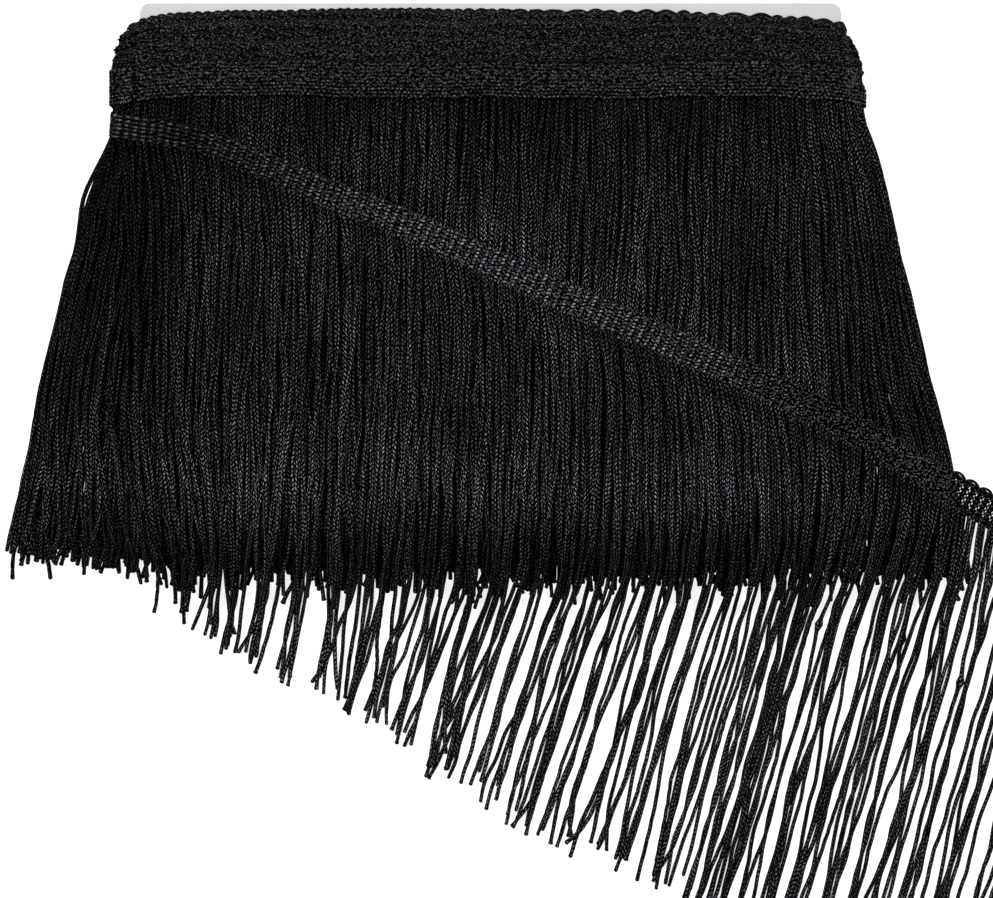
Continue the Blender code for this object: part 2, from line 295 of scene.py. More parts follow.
# Cords draw together in clumps, which change on the way down.
WOUND_PACKED = 0.00135       # distance between cords in a clump
WOUND_GRIP = 0.85            # how firmly they are drawn together
WOUND_CLUMP = (2, 6)         # fewest and most cords in a clump
WOUND_STAGE = 0.030          # from one set of clumps to the next
CLUMP_CROSSED = 0.4          # share of the clumps in which two cords cross
CLUMP_OFF = 0.0005           # how far a clump is off the middle of its cords
CLUMP_LOOSER = (0.95, 1.15)  # the range of distances, and of grips, as shares of the given ones
CLUMP_HOLD = (0.3, 1.0)
CLUMP_MIDDLE = 0.75          # how far down its stage a clump is tightest, and how far off that
CLUMP_SHIFT = 0.3
CLUMP_LENGTH = 0.60          # how far a clump reaches up and down, all as shares of the stage

# The outermost layer's cords crowd outwards at the right edge, and slant inwards at the left.
RIGHT_CROWDING = 0.34        # share of the way to the edge
RIGHT_ROOTS = (0.070, 0.084) # the cords that it reaches, by x at the heading, and by their
RIGHT_INSIDE = (0.010, 0.030)          # distance from the edge
RIGHT_DEPTHS = (0.098, 0.134, 0.140, 0.164)
LEFT_SLANT = 0.0085
LEFT_ROOTS = (-0.095, -0.070)
LEFT_DEPTHS = (0.106, 0.160)

END_CORDS = 26               # cords that hang from each rounded end
END_POINTS = 48
END_SIDES = 6
END_ANGLES = (-0.9, 1.15)    # the part of the rounded end they hang from, in radians
END_UNEVEN = 0.05            # how unevenly they are spread along it
END_DEEP = 0.0022            # how far into the turns they begin
END_TUCK = 0.0012            # how far in from there, towards the card
END_ABOVE = 0.0045           # how far above the heading's foot they begin
END_SPREAD = (0.55, 1.0)     # how much of the way to the flare's edge they spread
END_SPREAD_DEPTH = 0.036     # and by which depth
END_TIPS = (-0.005, 0.003)   # how much deeper their tips are
END_WAVES = [
    # sideways, seed, step from cord to cord, length
    (0.0011, 500, 0.9, 0.030),
]
END_WAVES_FROM = (0.0, 0.3)  # shares of its length over which a cord's waves set in,
END_SINKS = (0.0, 0.5)       # and over which it comes down
END_THICKNESS = 0.0028       # how high they lie over each other on the table
END_STRAY_EVERY = 9          # which cords stray: every so many, from this one on
END_STRAY_FIRST = 4
END_STRAYS = [
    # side, how far one cord in nine strays, depth, length
    (-1, 0.0010, 0.048, 0.011),
    (1, 0.0007, 0.072, 0.013),
]

# ---------------------------------------------------------------- sizes of the loose heading
# Its centre line across the face.  Pulled at its start, it is narrower there.
LOOSE_PATH = [
    # x,      y,       width,  lean of the cords over the package and past it (degrees)
    (-0.1085, -0.0312, 0.0064, 0.0, 7.0),
    (-0.0816, -0.0361, 0.0069, 3.0, 9.0),
    (-0.0506, -0.0493, 0.0078, 4.5, 9.0),
    (-0.0216, -0.0610, 0.0083, 4.0, 14.0),
    (0.0071, -0.0742, 0.0085, 3.5, 18.5),
    (0.0538, -0.0951, 0.0087, 1.0, 17.0),
    (0.0825, -0.1081, 0.0089, 1.0, 15.0),
    (0.1115, -0.1232, 0.0078, 14.0, 15.0),
    (0.1391, -0.1391, 0.0088, 19.0, 15.0),
    (0.1640, -0.1528, 0.0091, 19.0, 15.0),
    (0.1855, -0.1648, 0.0091, 19.0, 15.0),
]
CURVE_STEPS = 60             # steps in which the curve between two rows is worked out
LOOSE_SPACING = 0.0008       # from one station of the loose heading to the next
LOOSE_THICKNESS = 0.0004     # the loose heading's ground
LOOSE_GAP = 0.0001           # between the wound fringe and the loose heading
LOOSE_SLOPE = 0.42           # how steeply the loose heading may come down off the package
WRAP_REACH = 0.0076          # how far it stands out past the card as it comes round from the back
WRAP_DROP = 0.0020           # how much higher it is at the back
WRAP_JOIN = 0.6              # how much of the way from there it has come to the first station
WRAP_POINTS = 22
WRAP_ANGLES = (-50, 84)      # the part of the round that shows, in degrees

SCALLOP = 0.00537            # one scallop of the selvedge, and one repeat of the openwork
PULLED = [
    # distance, length of the repeat where the loose end is pulled
    (0.000, 0.90),
    (0.050, 0.92),
    (0.090, 0.96),
    (0.190, 0.99),
    (0.240, 1.00),
]
ROW_PITCH = [
    # distance, from one row of stitches to the next
    (0.000, 0.00120),
    (0.050, 0.00115),
    (0.100, 0.00109),
    (0.180, 0.00109),
    (0.240, 0.00131),
]
LOOSE_ROWS = 9               # rows of stitches across the loose heading
LOOSE_EDGE = 0.0002          # how far from the heading's edges they keep
LOOSE_STITCHES = [
    # place in the repeat, half length, half width, slant, strongest and weakest painted highlight,
    # disorder
    (0.25, 0.00056, 0.00038, 26, 1.00, 0.30, 0.6),
    (0.75, 0.00056, 0.00038, 26, 1.00, 0.30, 0.6),
    (0.02, 0.00052, 0.00026, -35, 0.50, 0.10, 1.0),
    (0.52, 0.00052, 0.00026, -35, 0.50, 0.10, 1.0),
    (0.12, 0.00045, 0.00022, 40, 0.36, 0.06, 1.5),
    (0.62, 0.00045, 0.00022, 40, 0.36, 0.06, 1.5),
    (0.38, 0.00045, 0.00022, -50, 0.36, 0.06, 1.5),
    (0.88, 0.00045, 0.00022, -50, 0.36, 0.06, 1.5),
]
POST_MOST = 0.8              # disorder up to which a column is one of the posts, with the strongest painted highlight
MESSY = 1.2                  # disorder from which a column loses stitches in the open part
OPEN_LOST = 0.6              # and the share of them that it loses
COLUMN_JOG = 0.2             # how far a column is moved up or down, in rows
STITCH_OFF = 0.00022         # how far a stitch is off its place, and how much more where slack
STITCH_OFF_SLACK = 0.00020
STITCH_LEAN = 14             # spread of their slants, in degrees
STITCH_LIFT = 0.00006        # how high they lie over the ground
DRAWN_OUT = (0.012, 0.042)   # distances over which the pull on the stitches ends
DRAWN_LONGER = 0.40          # how much longer the pulled stitches are
DRAWN_STRAIGHTER = 0.85      # and how much straighter
DRAWN_DULLER = 0.5           # and how much weaker their painted highlight is between the posts
SLACK = (0.175, 0.225)       # distances over which the heading becomes slack
SLACK_SHORTER = 0.44         # how much shorter and finer the slack stitches are
SLACK_FINER = 0.48
SLACK_SHEEN = (0.10, 0.60)   # their painted highlights, which take over this share of the others'
SLACK_MIXED = 0.8
OPEN = (0.266, 0.274)        # distances over which the openwork opens

# Fine stitches every way fill the ground where it is slack.
FILL_STITCHES = 1600
FILL_FROM = (0.170, 0.215)   # distances over which there come to be more of them
FILL_SHARES = (-0.97, 0.90)  # the part of the heading's half widths that they fill
FILL_SIZE = (0.00031, 0.00016, 0.00026)
FILL_SHEEN = (0.06, 0.50)
FILL_SPREAD = 80             # their slants, either way, in degrees
FILL_LIFT = 0.00002
FILL_CLEAR = 0.30            # how far they keep from the posts' middle, in half repeats, and the
FILL_CLEAR_FROM = 0.268      # distance from which they do
END_MARGIN = 0.0006          # bare length at the cut end

HOLE_ROWS = 6                # rows of ground between which the holes lie
HOLE_COLUMNS = (0.250, 0.750)          # the pairs of columns; the first lies where a repeat begins
HOLE_APART = 0.056           # half the distance between the two columns of holes in each pair
HOLE = 0.050                 # half a hole's length, all as shares of a repeat
HOLE_SHARE = 0.42            # a hole's height, as a share of a row
HOLE_STAGGER = 0.25          # how far the two columns are apart in height, in rows, halved
GROUND_EDGE = 0.05           # margin above and below the rows, as a share of the half width

SELVEDGE_YARNS = [
    # rise of the arches, drop, lift
    (0.0014, 0.0003, 0.0),
    (0.0009, 0.0007, -0.0002),
    (0.0005, 0.0010, -0.0002),
]
SELVEDGE_POINTS = 9          # to a scallop
SELVEDGE_ROUND = 0.7         # power that rounds the arches
SELVEDGE_SHEEN = 0.27
SELVEDGE_LOW = 0.30          # height of the arches at first, as a share of their later height
SELVEDGE_RISES = (0.20, 0.24)

# ---------------------------------------------------------------- sizes of the loose fringe
LOOSE_CORDS = 180
LOOSE_CORD = 0.96            # their thickness, as a share of the wound cords'
LOOSE_LENGTH = 0.1530
LOOSE_POINTS = 82            # points along a cord, and sides round it
LOOSE_SIDES = 5
LOOSE_CURL = 13.0            # degrees by which a cord leans less at its root
LOOSE_CURL_POWER = 7
LOOSE_STRAIGHT = 0.98        # how far down a cord gets, as a share of its length
LOOSE_CROWDING = 0.0127      # how unevenly the cords are spread along the heading
LOOSE_CROWDING_AT = 0.1      # where along it that wave begins, as a share
LOOSE_ROOT_OFF = 0.0005
LOOSE_ROOT_SHARE = -0.50     # how low in the heading they begin, as a share of its half width
LOOSE_ROOT_LIFT = 0.0004
LOOSE_SHORTER = [
    # share by which the first cords are shorter, from and to a distance along the heading
    (0.066, 0.06, 0.17),
    (0.050, 0.0, 0.03),
]
LOOSE_UNEVEN = (0.015, -0.04, 0.035)   # spread of the cords' lengths, and its limits
LOOSE_WILD = (0.05, 0.20)    # distance over which the cords become less unruly
LOOSE_BEYOND = (0.150, 0.172)          # depths over which a cord changes to its lean past the package
LEFT_TURN = 9.0              # degrees that the first cords lean less, low on the package
LEFT_TURN_DEPTHS = (0.106, 0.124, 0.146, 0.160)
LEFT_TURN_X = (-0.086, -0.066)
LOOSE_SWING = (1.1, 11, 0.026, 0.060)  # degrees, seed, distance across and length
LOOSE_SWAYS = [
    # degrees, seed, step from cord to cord, length
    (2.6, 12, 5.3, 0.045),
]
LOOSE_SWAY_FROM = (0.0, 0.2) # shares of a cord's length over which it comes to sway
LOOSE_STRAY = 1.8            # degrees by which the cords stray in their lower halves
LOOSE_STRAY_WILD = 3.6       # and how much more where they are unruly
LOOSE_STRAY_FROM = (0.45, 0.95)
LOOSE_HOOKED = 0.10          # share of the cords that hook at the tip, and more where unruly
LOOSE_HOOK = (-38, 28)       # degrees
LOOSE_HOOK_FROM = (0.84, 1.0)
LOOSE_PACKED = 0.00088       # as for the wound fringe
LOOSE_GRIP = 0.84
LOOSE_CLUMP = (1, 4)
LOOSE_STAGE = 0.036
LOOSE_WAVES = [
    # sideways, seed, step from cord to cord, length
    (0.00048, 13, 6.1, 0.0080),
    (0.00075, 14, 2.9, 0.020),
]
LOOSE_WAVES_FROM = (0.01, 0.11)        # shares of its length over which the waves set in
LOOSE_FALL = 0.85            # how steeply a cord may come down
ROOT_SINK = 0.0002           # how much lower a cord lies just past its root
CROSSING = 1.9               # distance between crossing cords' middles, in radii
CROSSING_REACH = 6           # how many neighbours on each side a cord may cross
CROSSING_FROM = 5            # points at the root that no crossing raises
KNOTS = [
    # x,      y of the knots, each on the nearest cord
    (0.0970, -0.1763),
    (0.1069, -0.1780),
    (0.1211, -0.1801),
    (0.1373, -0.1928),
]
KNOT_BULK = (0.15, 1.00, 0.15)         # how much thicker a cord is before, at and after a knot
ROOT_POINTS = 10             # points at a cord's root where it is thicker
ROOT_BULK = 1.12
ROOT_SHADOW = 0.36           # painted shadow: how much darker the cords are painted just below the heading, which shades them
ROOT_SHADOW_AT = (0.0018, 0.0036, 0.0052, 0.0090)

# ---------------------------------------------------------------- painted sheen and shade
# How much painted sheen the cords get at each place, which paints light and shade on the package:
# little in the shade under the heading, towards the tips where the face droops away, and at the
# sides.
SHEEN_DOWN = [
    # depth, share
    (0.020, 0.34),
    (0.028, 0.37),
    (0.036, 0.52),
    (0.045, 0.62),
    (0.062, 0.73),
    (0.080, 0.74),
    (0.095, 0.76),
    (0.106, 0.75),
    (0.123, 0.90),
    (0.132, 1.36),
    (0.140, 1.26),
    (0.149, 0.70),
    (0.158, 0.44),
    (0.172, 0.64),
    (0.200, 0.88),
]
SHEEN_LEFT = [
    # depth, share at the left side
    (0.020, 0.22),
    (0.045, 0.20),
    (0.062, 0.24),
    (0.080, 0.30),
    (0.106, 0.45),
    (0.123, 0.68),
    (0.132, 1.00),
    (0.140, 0.62),
    (0.149, 0.60),
    (0.158, 0.36),
    (0.172, 0.50),
]
SHEEN_RIGHT = [
    # depth, share at the right side
    (0.020, 0.75),
    (0.054, 0.72),
    (0.064, 0.48),
    (0.120, 0.50),
    (0.132, 0.62),
    (0.142, 0.80),
    (0.158, 0.70),
    (0.200, 0.80),
]
SHEEN_ACROSS = [
    # x,     share
    (-0.067, 0.95),
    (-0.030, 1.00),
    (0.055, 1.00),
    (0.078, 0.80),
    (0.090, 0.85),
]
BAND_SHEEN = [
    # x,     share of the loose heading's painted highlight, which paints its light and shade along its length
    (-0.108, 0.50),
    (-0.090, 0.24),
    (-0.075, 0.44),
    (-0.046, 0.70),
    (-0.017, 1.00),
    (0.000, 1.00),
    (0.070, 0.95),
    (0.098, 0.88),
    (0.113, 1.05),
    (0.128, 1.15),
    (0.138, 0.65),
]
LEFT_SIDE = (-0.100, -0.072)           # x over which the left side's sheen gives way to the middle's
RIGHT_SIDE = (0.088, 0.108)
# Between these heights above the loose heading the cords get a painted highlight where they bulge,
# most right of the middle.
CLOSE_HEIGHTS = (0.0, 0.003, 0.010, 0.019)
CLOSE_GAIN = 0.10
CLOSE_MORE = 0.32
CLOSE_MORE_X = (-0.030, 0.0)

# ---------------------------------------------------------------- view and light
CAMERA_SIDE = 0.00175        # the view's middle from the card's middle
CAMERA_DOWN = 0.1244         # and below the origin
CAMERA_ABOVE = 0.012         # height of the level that VIEW_WIDTH is measured at
VIEW_WIDTH = 0.288
LENS = 110.0
FLOOR_HALF = 4.0
FLOOR_GAP = 0.0002           # how far the table is below the model
FLOOR_GREY = 0.40
FLOOR_GLOW = 0.82
SKY = 0.45
LAMPS = [
    # name, place, size, power
    ("key", (-0.55, 0.60, 1.25), 0.55, 28.0),
    ("fill", (0.75, 0.10, 1.15), 0.80, 13.0),
]
WHITE = (1.0, 1.0, 1.0, 1.0)
FAR = 20.0                   # how far the camera sees


# ---------------------------------------------------------------- node graphs
class Wire:
    """One output of a node.  Arithmetic on it adds Math nodes."""

    def __init__(self, graph, socket):
        self.graph = graph
        self.socket = socket

    def __add__(self, other):
        return self.graph.math("ADD", self, other)

    def __radd__(self, other):
        return self.graph.math("ADD", other, self)

    def __sub__(self, other):
        return self.graph.math("SUBTRACT", self, other)

    def __rsub__(self, other):
        return self.graph.math("SUBTRACT", other, self)

    def __mul__(self, other):
        return self.graph.math("MULTIPLY", self, other)

    def __rmul__(self, other):
        return self.graph.math("MULTIPLY", other, self)

    def __truediv__(self, other):
        return self.graph.math("DIVIDE", self, other)

    def __rtruediv__(self, other):
        return self.graph.math("DIVIDE", other, self)

    def __pow__(self, other):
        return self.graph.math("POWER", self, other)


class Graph:
    """Adds nodes to a tree.  Values are numbers or wires, given by socket name or place."""

    def __init__(self, tree):
        self.tree = tree

    def node(self, kind, settings=None, values=None):
        made = self.tree.nodes.new(kind)
        for name, value in (settings or {}).items():
            setattr(made, name, value)
        for name, value in (values or {}).items():
            if isinstance(value, Wire):
                self.tree.links.new(value.socket, made.inputs[name])
            else:
                made.inputs[name].default_value = value
        return made

    def out(self, kind, output=0, settings=None, values=None):
        return Wire(self, self.node(kind, settings, values).outputs[output])

    def math(self, operation, *values, clamp=False):
        settings = {"operation": operation, "use_clamp": clamp}
        return self.out("ShaderNodeMath", 0, settings, dict(enumerate(values)))

    def between(self, value, low, high):
        """0 below low, 1 above high, smooth between them."""
        settings = {"interpolation_type": "SMOOTHSTEP"}
        return self.out("ShaderNodeMapRange", 0, settings, {0: value, 1: low, 2: high})


def mix_colour(graph, factor, first, second):
    """Colour between two, each a wire or three numbers."""
    values = {0: factor}
    for place, colour in ((6, first), (7, second)):
        values[place] = colour if isinstance(colour, Wire) else (*colour, 1.0)
    return graph.out("ShaderNodeMix", 2, {"data_type": "RGBA"}, values)


def noise(graph, scale, detail=1.0, output=0):
    """Noise fixed to the object: output 0 is grey, and 1 has three colours."""
    place = graph.out("ShaderNodeTexCoord", 3)
    values = {"Vector": place, "Scale": scale, "Detail": detail}
    return graph.out("ShaderNodeTexNoise", output, None, values)


def split(graph, vector):
    parts = graph.node("ShaderNodeSeparateXYZ", None, {0: vector})
    return [Wire(graph, socket) for socket in parts.outputs]


def new_material(name, roughness, specular):
    finish = bpy.data.materials.new(name)
    finish.use_nodes = True
    shader = finish.node_tree.nodes["Principled BSDF"]
    shader.inputs["Roughness"].default_value = roughness
    shader.inputs["Specular IOR Level"].default_value = specular
    return finish, Graph(finish.node_tree), shader


def surface(graph, shader, colour, roughness, height, strength, distance):
    """Joins the colour, the roughness and a bump of some height to the shader."""
    bump = graph.out("ShaderNodeBump", 0, None,
                     {"Strength": strength, "Distance": distance, "Height": height})
    for name, wire in (("Base Color", colour), ("Roughness", roughness), ("Normal", bump)):
        graph.tree.links.new(wire.socket, shader.inputs[name])


# ---------------------------------------------------------------- finishes
CORD_RANKS = 4.0             # ranks of loops round a cord, each slanted against the next
CORD_UNEVEN = 650.0          # scale of the loops' unevenness, and its size round and along a cord
UNEVEN_ROUND = 0.22
UNEVEN_ALONG = 0.55
LOOP_SLANT = 0.95            # how far along the cord a loop leans over its rank
LOOP_HALF = (0.37, 0.25)     # half a loop's width and length, as shares of its place
LOOP_CREST = (-0.12, 0.52)   # where a loop's crest starts and is full
HAIR_GLINT = 0.78            # share of the painted glint that comes and goes with the hairs
# the black yarn, and the painted highlight on the loops' crests
CORD_AND_GLINT_COLOURS = ((0.0004, 0.0003, 0.0005), (0.318, 0.293, 0.333))
CORD_BUMP = (1.0, 0.00016)
HAIR = (0.36, 0.64)          # where in the noise the hairs lie
CORD_HAIRS = 2100.0
YARN_HAIRS = 2600.0
YARN_LEAST = 0.4             # glint between the hairs
YARN_BUMP = (0.8, 0.00010)
BOARD_CLOUD = (90.0, 3.0)    # scale and detail of the board's mottling, and of its tooth
BOARD_TOOTH = (1800.0, 2.0)
BOARD_COLOURS = ((0.285, 0.281, 0.287), (0.345, 0.341, 0.347))
BOARD_SHARES = (0.7, 0.3)    # how much of each shows in its colour
BOARD_BUMP = (0.5, 0.00008)


def cord_finish():
    """Chainette cord: ranks of slanted loops of a black yarn, with a highlight painted into the
    colour on each loop's crest.
    """
    finish, graph, shader = new_material("black cord", 0.45, 0.005)
    uneven = split(graph, noise(graph, CORD_UNEVEN, output=1))
    place = split(graph, graph.out("ShaderNodeUVMap", 0, {"uv_map": "UVMap"}))
    around = place[0] + (uneven[0] - 0.5) * UNEVEN_ROUND
    along = place[1] + (uneven[1] - 0.5) * UNEVEN_ALONG
    rank = around * CORD_RANKS
    odd = graph.math("MODULO", graph.math("FLOOR", rank), 2.0)
    across = graph.math("FRACT", rank) - 0.5
    slant = (odd * 2.0 - 1.0) * across
    step = graph.math("FRACT", along + slant * LOOP_SLANT + odd * 0.5) - 0.5
    loop = (across / LOOP_HALF[0]) ** 2.0 + (step / LOOP_HALF[1]) ** 2.0
    crest = graph.between(1.0 - loop, *LOOP_CREST)
    painted_sheen = graph.out("ShaderNodeAttribute", 2, {"attribute_name": "painted_sheen"})
    hairs = graph.between(noise(graph, CORD_HAIRS), *HAIR)
    glint = crest * (hairs * HAIR_GLINT + (1.0 - HAIR_GLINT)) * painted_sheen
    colour = mix_colour(graph, glint, *CORD_AND_GLINT_COLOURS)
    surface(graph, shader, colour, 0.65 - crest * 0.20, crest, *CORD_BUMP)
    return finish


def yarn_finish(name, painted_highlight, roughness, specular, dark=(0.0005, 0.0004, 0.0006)):
    """Plain black yarn: fine filaments, no weave of its own.  Its lighter colour is a painted
    highlight, mixed in as strongly as each stitch's painted sheen says.
    """
    finish, graph, shader = new_material(name, roughness, specular)
    hairs = noise(graph, YARN_HAIRS)
    painted_sheen = graph.out("ShaderNodeAttribute", 2, {"attribute_name": "painted_sheen"})
    colour = mix_colour(graph, painted_sheen * (graph.between(hairs, *HAIR) + YARN_LEAST), dark, painted_highlight)
    surface(graph, shader, colour, roughness - hairs * 0.15, hairs, *YARN_BUMP)
    return finish


def board_finish():
    """White board: faint mottling and a soft tooth."""
    finish, graph, shader = new_material("white board", 0.75, 0.2)
    tooth = noise(graph, *BOARD_TOOTH)
    mottled = noise(graph, *BOARD_CLOUD) * BOARD_SHARES[0] + tooth * BOARD_SHARES[1]
    colour = mix_colour(graph, mottled, *BOARD_COLOURS)
    surface(graph, shader, colour, 0.85 - tooth * 0.2, tooth, *BOARD_BUMP)
    return finish


# ---------------------------------------------------------------- geometry trees
WELD = 2e-6                  # seams closer than this are closed


def named(graph, kind, name):
    return graph.out("GeometryNodeInputNamedAttribute", 0, {"data_type": kind}, {"Name": name})


def store(graph, shape, kind, domain, name, value):
    settings = {"data_type": kind, "domain": domain}
    return graph.out("GeometryNodeStoreNamedAttribute", 0, settings,
                     {"Geometry": shape, "Name": name, "Value": value})


def new_tree(name, sizes):
    """A geometry tree with a mesh in and out, and named inputs for its sizes."""
    tree = bpy.data.node_groups.new(name, "GeometryNodeTree")
    tree.interface.new_socket("Geometry", in_out="INPUT", socket_type="NodeSocketGeometry")
    for label, kind in sizes:
        tree.interface.new_socket(label, in_out="INPUT", socket_type=kind)
    tree.interface.new_socket("Geometry", in_out="OUTPUT", socket_type="NodeSocketGeometry")
    graph = Graph(tree)
    entry = graph.node("NodeGroupInput")
    wires = {socket.name: Wire(graph, socket) for socket in entry.outputs if socket.name}
    return graph, wires


def finish_tree(graph, shape, material):
    shape = graph.out("GeometryNodeSetShadeSmooth", 0, None, {"Geometry": shape})
    shape = graph.out("GeometryNodeRealizeInstances", 0, None, {"Geometry": shape})
    shape = graph.out("GeometryNodeSetMaterial", 0, None, {"Geometry": shape, "Material": material})
    graph.node("NodeGroupOutput", None, {0: shape})
    return graph.tree


def cord_tree():
    """Turns lines into closed round cords, with a UV map round and along each."""
    graph, given = new_tree("cords along lines", [
        ("Sides", "NodeSocketInt"), ("Radius", "NodeSocketFloat"),
        ("Stitch", "NodeSocketFloat"), ("Finish", "NodeSocketMaterial")])
    lines = graph.out("GeometryNodeMeshToCurve", 0, None, {"Mesh": given["Geometry"]})
    lines = graph.out("GeometryNodeSetCurveTilt", 0, None,
                      {"Curve": lines, "Tilt": named(graph, "FLOAT", "turn")})
    length = graph.out("GeometryNodeSplineParameter", 1)
    lines = store(graph, lines, "FLOAT", "POINT", "along", length)
    ring = graph.out("GeometryNodeCurveArc", 0, None,
                     {"Resolution": given["Sides"] + 1.0, "Radius": given["Radius"],
                      "Sweep Angle": 2 * math.pi})
    share = graph.out("GeometryNodeSplineParameter", 0)
    ring = store(graph, ring, "FLOAT", "POINT", "around", share)
    thick = named(graph, "FLOAT", "thick")
    tubes = graph.out("GeometryNodeCurveToMesh", 0, None,
                      {"Curve": lines, "Profile Curve": ring, "Scale": thick})
    stitches = named(graph, "FLOAT", "along") / given["Stitch"]
    place = graph.out("ShaderNodeCombineXYZ", 0, None,
                      {0: named(graph, "FLOAT", "around"), 1: stitches})
    tubes = store(graph, tubes, "FLOAT2", "CORNER", "UVMap", place)
    tubes = graph.out("GeometryNodeMergeByDistance", 0, None, {"Geometry": tubes, "Distance": WELD})
    return finish_tree(graph, tubes, given["Finish"])


def stitch_tree():
    """Puts one rounded stitch on each point, laid along its own direction."""
    graph, given = new_tree("stitches on points", [
        ("Sides", "NodeSocketInt"), ("Rings", "NodeSocketInt"), ("Finish", "NodeSocketMaterial")])
    bead = graph.out("GeometryNodeMeshUVSphere", 0, None,
                     {"Segments": given["Sides"], "Rings": given["Rings"], "Radius": 1.0})
    run = named(graph, "FLOAT_VECTOR", "run")
    out = named(graph, "FLOAT_VECTOR", "out")
    axes = {"primary_axis": "Z", "secondary_axis": "X"}
    turned = graph.out("FunctionNodeAxesToRotation", 0, axes, {0: run, 1: out})
    spots = graph.out("GeometryNodeInstanceOnPoints", 0, None,
                      {"Points": given["Geometry"], "Instance": bead, "Rotation": turned,
                       "Scale": named(graph, "FLOAT_VECTOR", "size")})
    return finish_tree(graph, spots, given["Finish"])


def run_tree(name, mesh, tree, inputs):
    """Object whose mesh is the tree's result, with no modifier left."""
    piece = bpy.data.objects.new(name, mesh)
    bpy.context.collection.objects.link(piece)
    modifier = piece.modifiers.new("shape", "NODES")
    modifier.node_group = tree
    for item in tree.interface.items_tree:
        if item.in_out == "INPUT" and item.name in inputs:
            modifier[item.identifier] = inputs[item.name]
    depsgraph = bpy.context.evaluated_depsgraph_get()
    result = bpy.data.meshes.new_from_object(piece.evaluated_get(depsgraph))
    piece.modifiers.clear()
    piece.data = result
    result.name = name
    return piece


# ---------------------------------------------------------------- pieces
def settle(piece):
    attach(piece, "root")
    return piece


def grown_piece(name, spots, edges, fields, tree, inputs):
    """A piece that a tree grows from points or lines, with fields of values or directions."""
    mesh = bpy.data.meshes.new(name)
    mesh.from_pydata((spots + PLACE).tolist(), edges, [])
    for label, values in fields.items():
        kind, key = ("FLOAT", "value") if values.ndim == 1 else ("FLOAT_VECTOR", "vector")
        layer = mesh.attributes.new(label, kind, "POINT")
        layer.data.foreach_set(key, values.astype(np.float32).ravel())
    return settle(run_tree(name, mesh, tree, inputs))


def mesh_piece(name, verts, faces, finish):
    mesh = bpy.data.meshes.new(name)
    mesh.from_pydata((np.asarray(verts) + PLACE).tolist(), [], faces)
    mesh.materials.append(finish)
    mesh.shade_smooth()
    piece = bpy.data.objects.new(name, mesh)
    bpy.context.collection.objects.link(piece)
    return settle(piece)


# ---------------------------------------------------------------- numbers
def smooth(share):
    return share * share * (3 - 2 * share)


def ease(value, low, high):
    """0 below low, 1 above high, smooth between them."""
    return smooth(np.clip((value - low) / (high - low), 0.0, 1.0))


def hump(value, low, high, fall, end):
    """0, then 1 from high to fall, then 0 again from the end."""
    return ease(value, low, high) * (1 - ease(value, fall, end))


def drift(seed, a, b):
    """Smooth random waves over two directions, between -1 and 1."""
    cells = 96
    table = np.random.default_rng(seed).uniform(-1.0, 1.0, (cells, cells))
    a, b = np.broadcast_arrays(np.asarray(a, float), np.asarray(b, float))
    ia = np.floor(a).astype(int)
    ib = np.floor(b).astype(int)
    fa = smooth(a - ia)
    fb = smooth(b - ib)
    low = table[ia % cells, ib % cells] * (1 - fb) + table[ia % cells, (ib + 1) % cells] * fb
    high = (table[(ia + 1) % cells, ib % cells] * (1 - fb)
            + table[(ia + 1) % cells, (ib + 1) % cells] * fb)
    return low * (1 - fa) + high * fa


def swing(row, at, down, layer=0):
    """A wave that neighbours share: a row of size, seed, distance across and length."""
    size, seed, across, length = row
    return size * drift(seed + layer, at / across, down / length)


def waved(side, rows, cord, down, layer=0):
    """Adds waves down the cords: rows of size, seed, step from cord to cord and length."""
    for size, seed, step, length in rows:
        side = side + size * drift(seed + layer, cord * step, down / length)
    return side


def some(rng, count, share, low, high):
    """A random amount for a share of the cords, and 0 for the others."""
    return (rng.random(count) < share) * rng.uniform(low, high, count)


def smooth_column(rows, column, step=0.001, reach=9):
    """A table's column as a smooth function of its first column."""
    rows = np.array(rows, float)
    keys = np.arange(rows[0, 0] - reach * step, rows[-1, 0] + reach * step, step)
    values = np.interp(keys, rows[:, 0], rows[:, column])
    weights = np.hanning(reach + 2)[1:-1]
    padded = np.pad(values, reach // 2, mode="edge")
    values = np.convolve(padded, weights / weights.sum(), mode="valid")
    return lambda at: np.interp(at, keys, values)


edge_left = smooth_column(FLARE, 1)
edge_right = smooth_column(FLARE, 2)
face_height = smooth_column(FLARE, 3)
tip_mean = smooth_column(TIPS, 1, 0.002)
edge_bow = smooth_column(EDGE_BOW, 1, 0.001, 7)
sheen_down = smooth_column(SHEEN_DOWN, 1)
sheen_left = smooth_column(SHEEN_LEFT, 1)
sheen_right = smooth_column(SHEEN_RIGHT, 1)
sheen_across = smooth_column(SHEEN_ACROSS, 1, 0.003)
band_sheen = smooth_column(BAND_SHEEN, 1, 0.002)
row_pitch = smooth_column(ROW_PITCH, 1, 0.004)
pulled_repeat = smooth_column(PULLED, 1, 0.004)


def loose_line_at(x):
    """The loose heading's place up the card at each place across."""
    return np.interp(x, [row[0] for row in LOOSE_PATH], [row[1] for row in LOOSE_PATH])


def sheen_at(x, y):
    """Share of the painted sheen at a place, low where it paints shade; each side has its own."""
    left = 1 - ease(x, *LEFT_SIDE)
    right = ease(x, *RIGHT_SIDE)
    close = hump(y - loose_line_at(x), *CLOSE_HEIGHTS)
    gain = 1 + (CLOSE_GAIN + CLOSE_MORE * ease(x, *CLOSE_MORE_X)) * close
    middle = sheen_down(-y) * sheen_across(x) * gain
    return middle * (1 - left - right) + sheen_left(-y) * left + sheen_right(-y) * right


def flare_edge(x, depth):
    return np.where(x < 0, edge_left(depth), edge_right(depth))


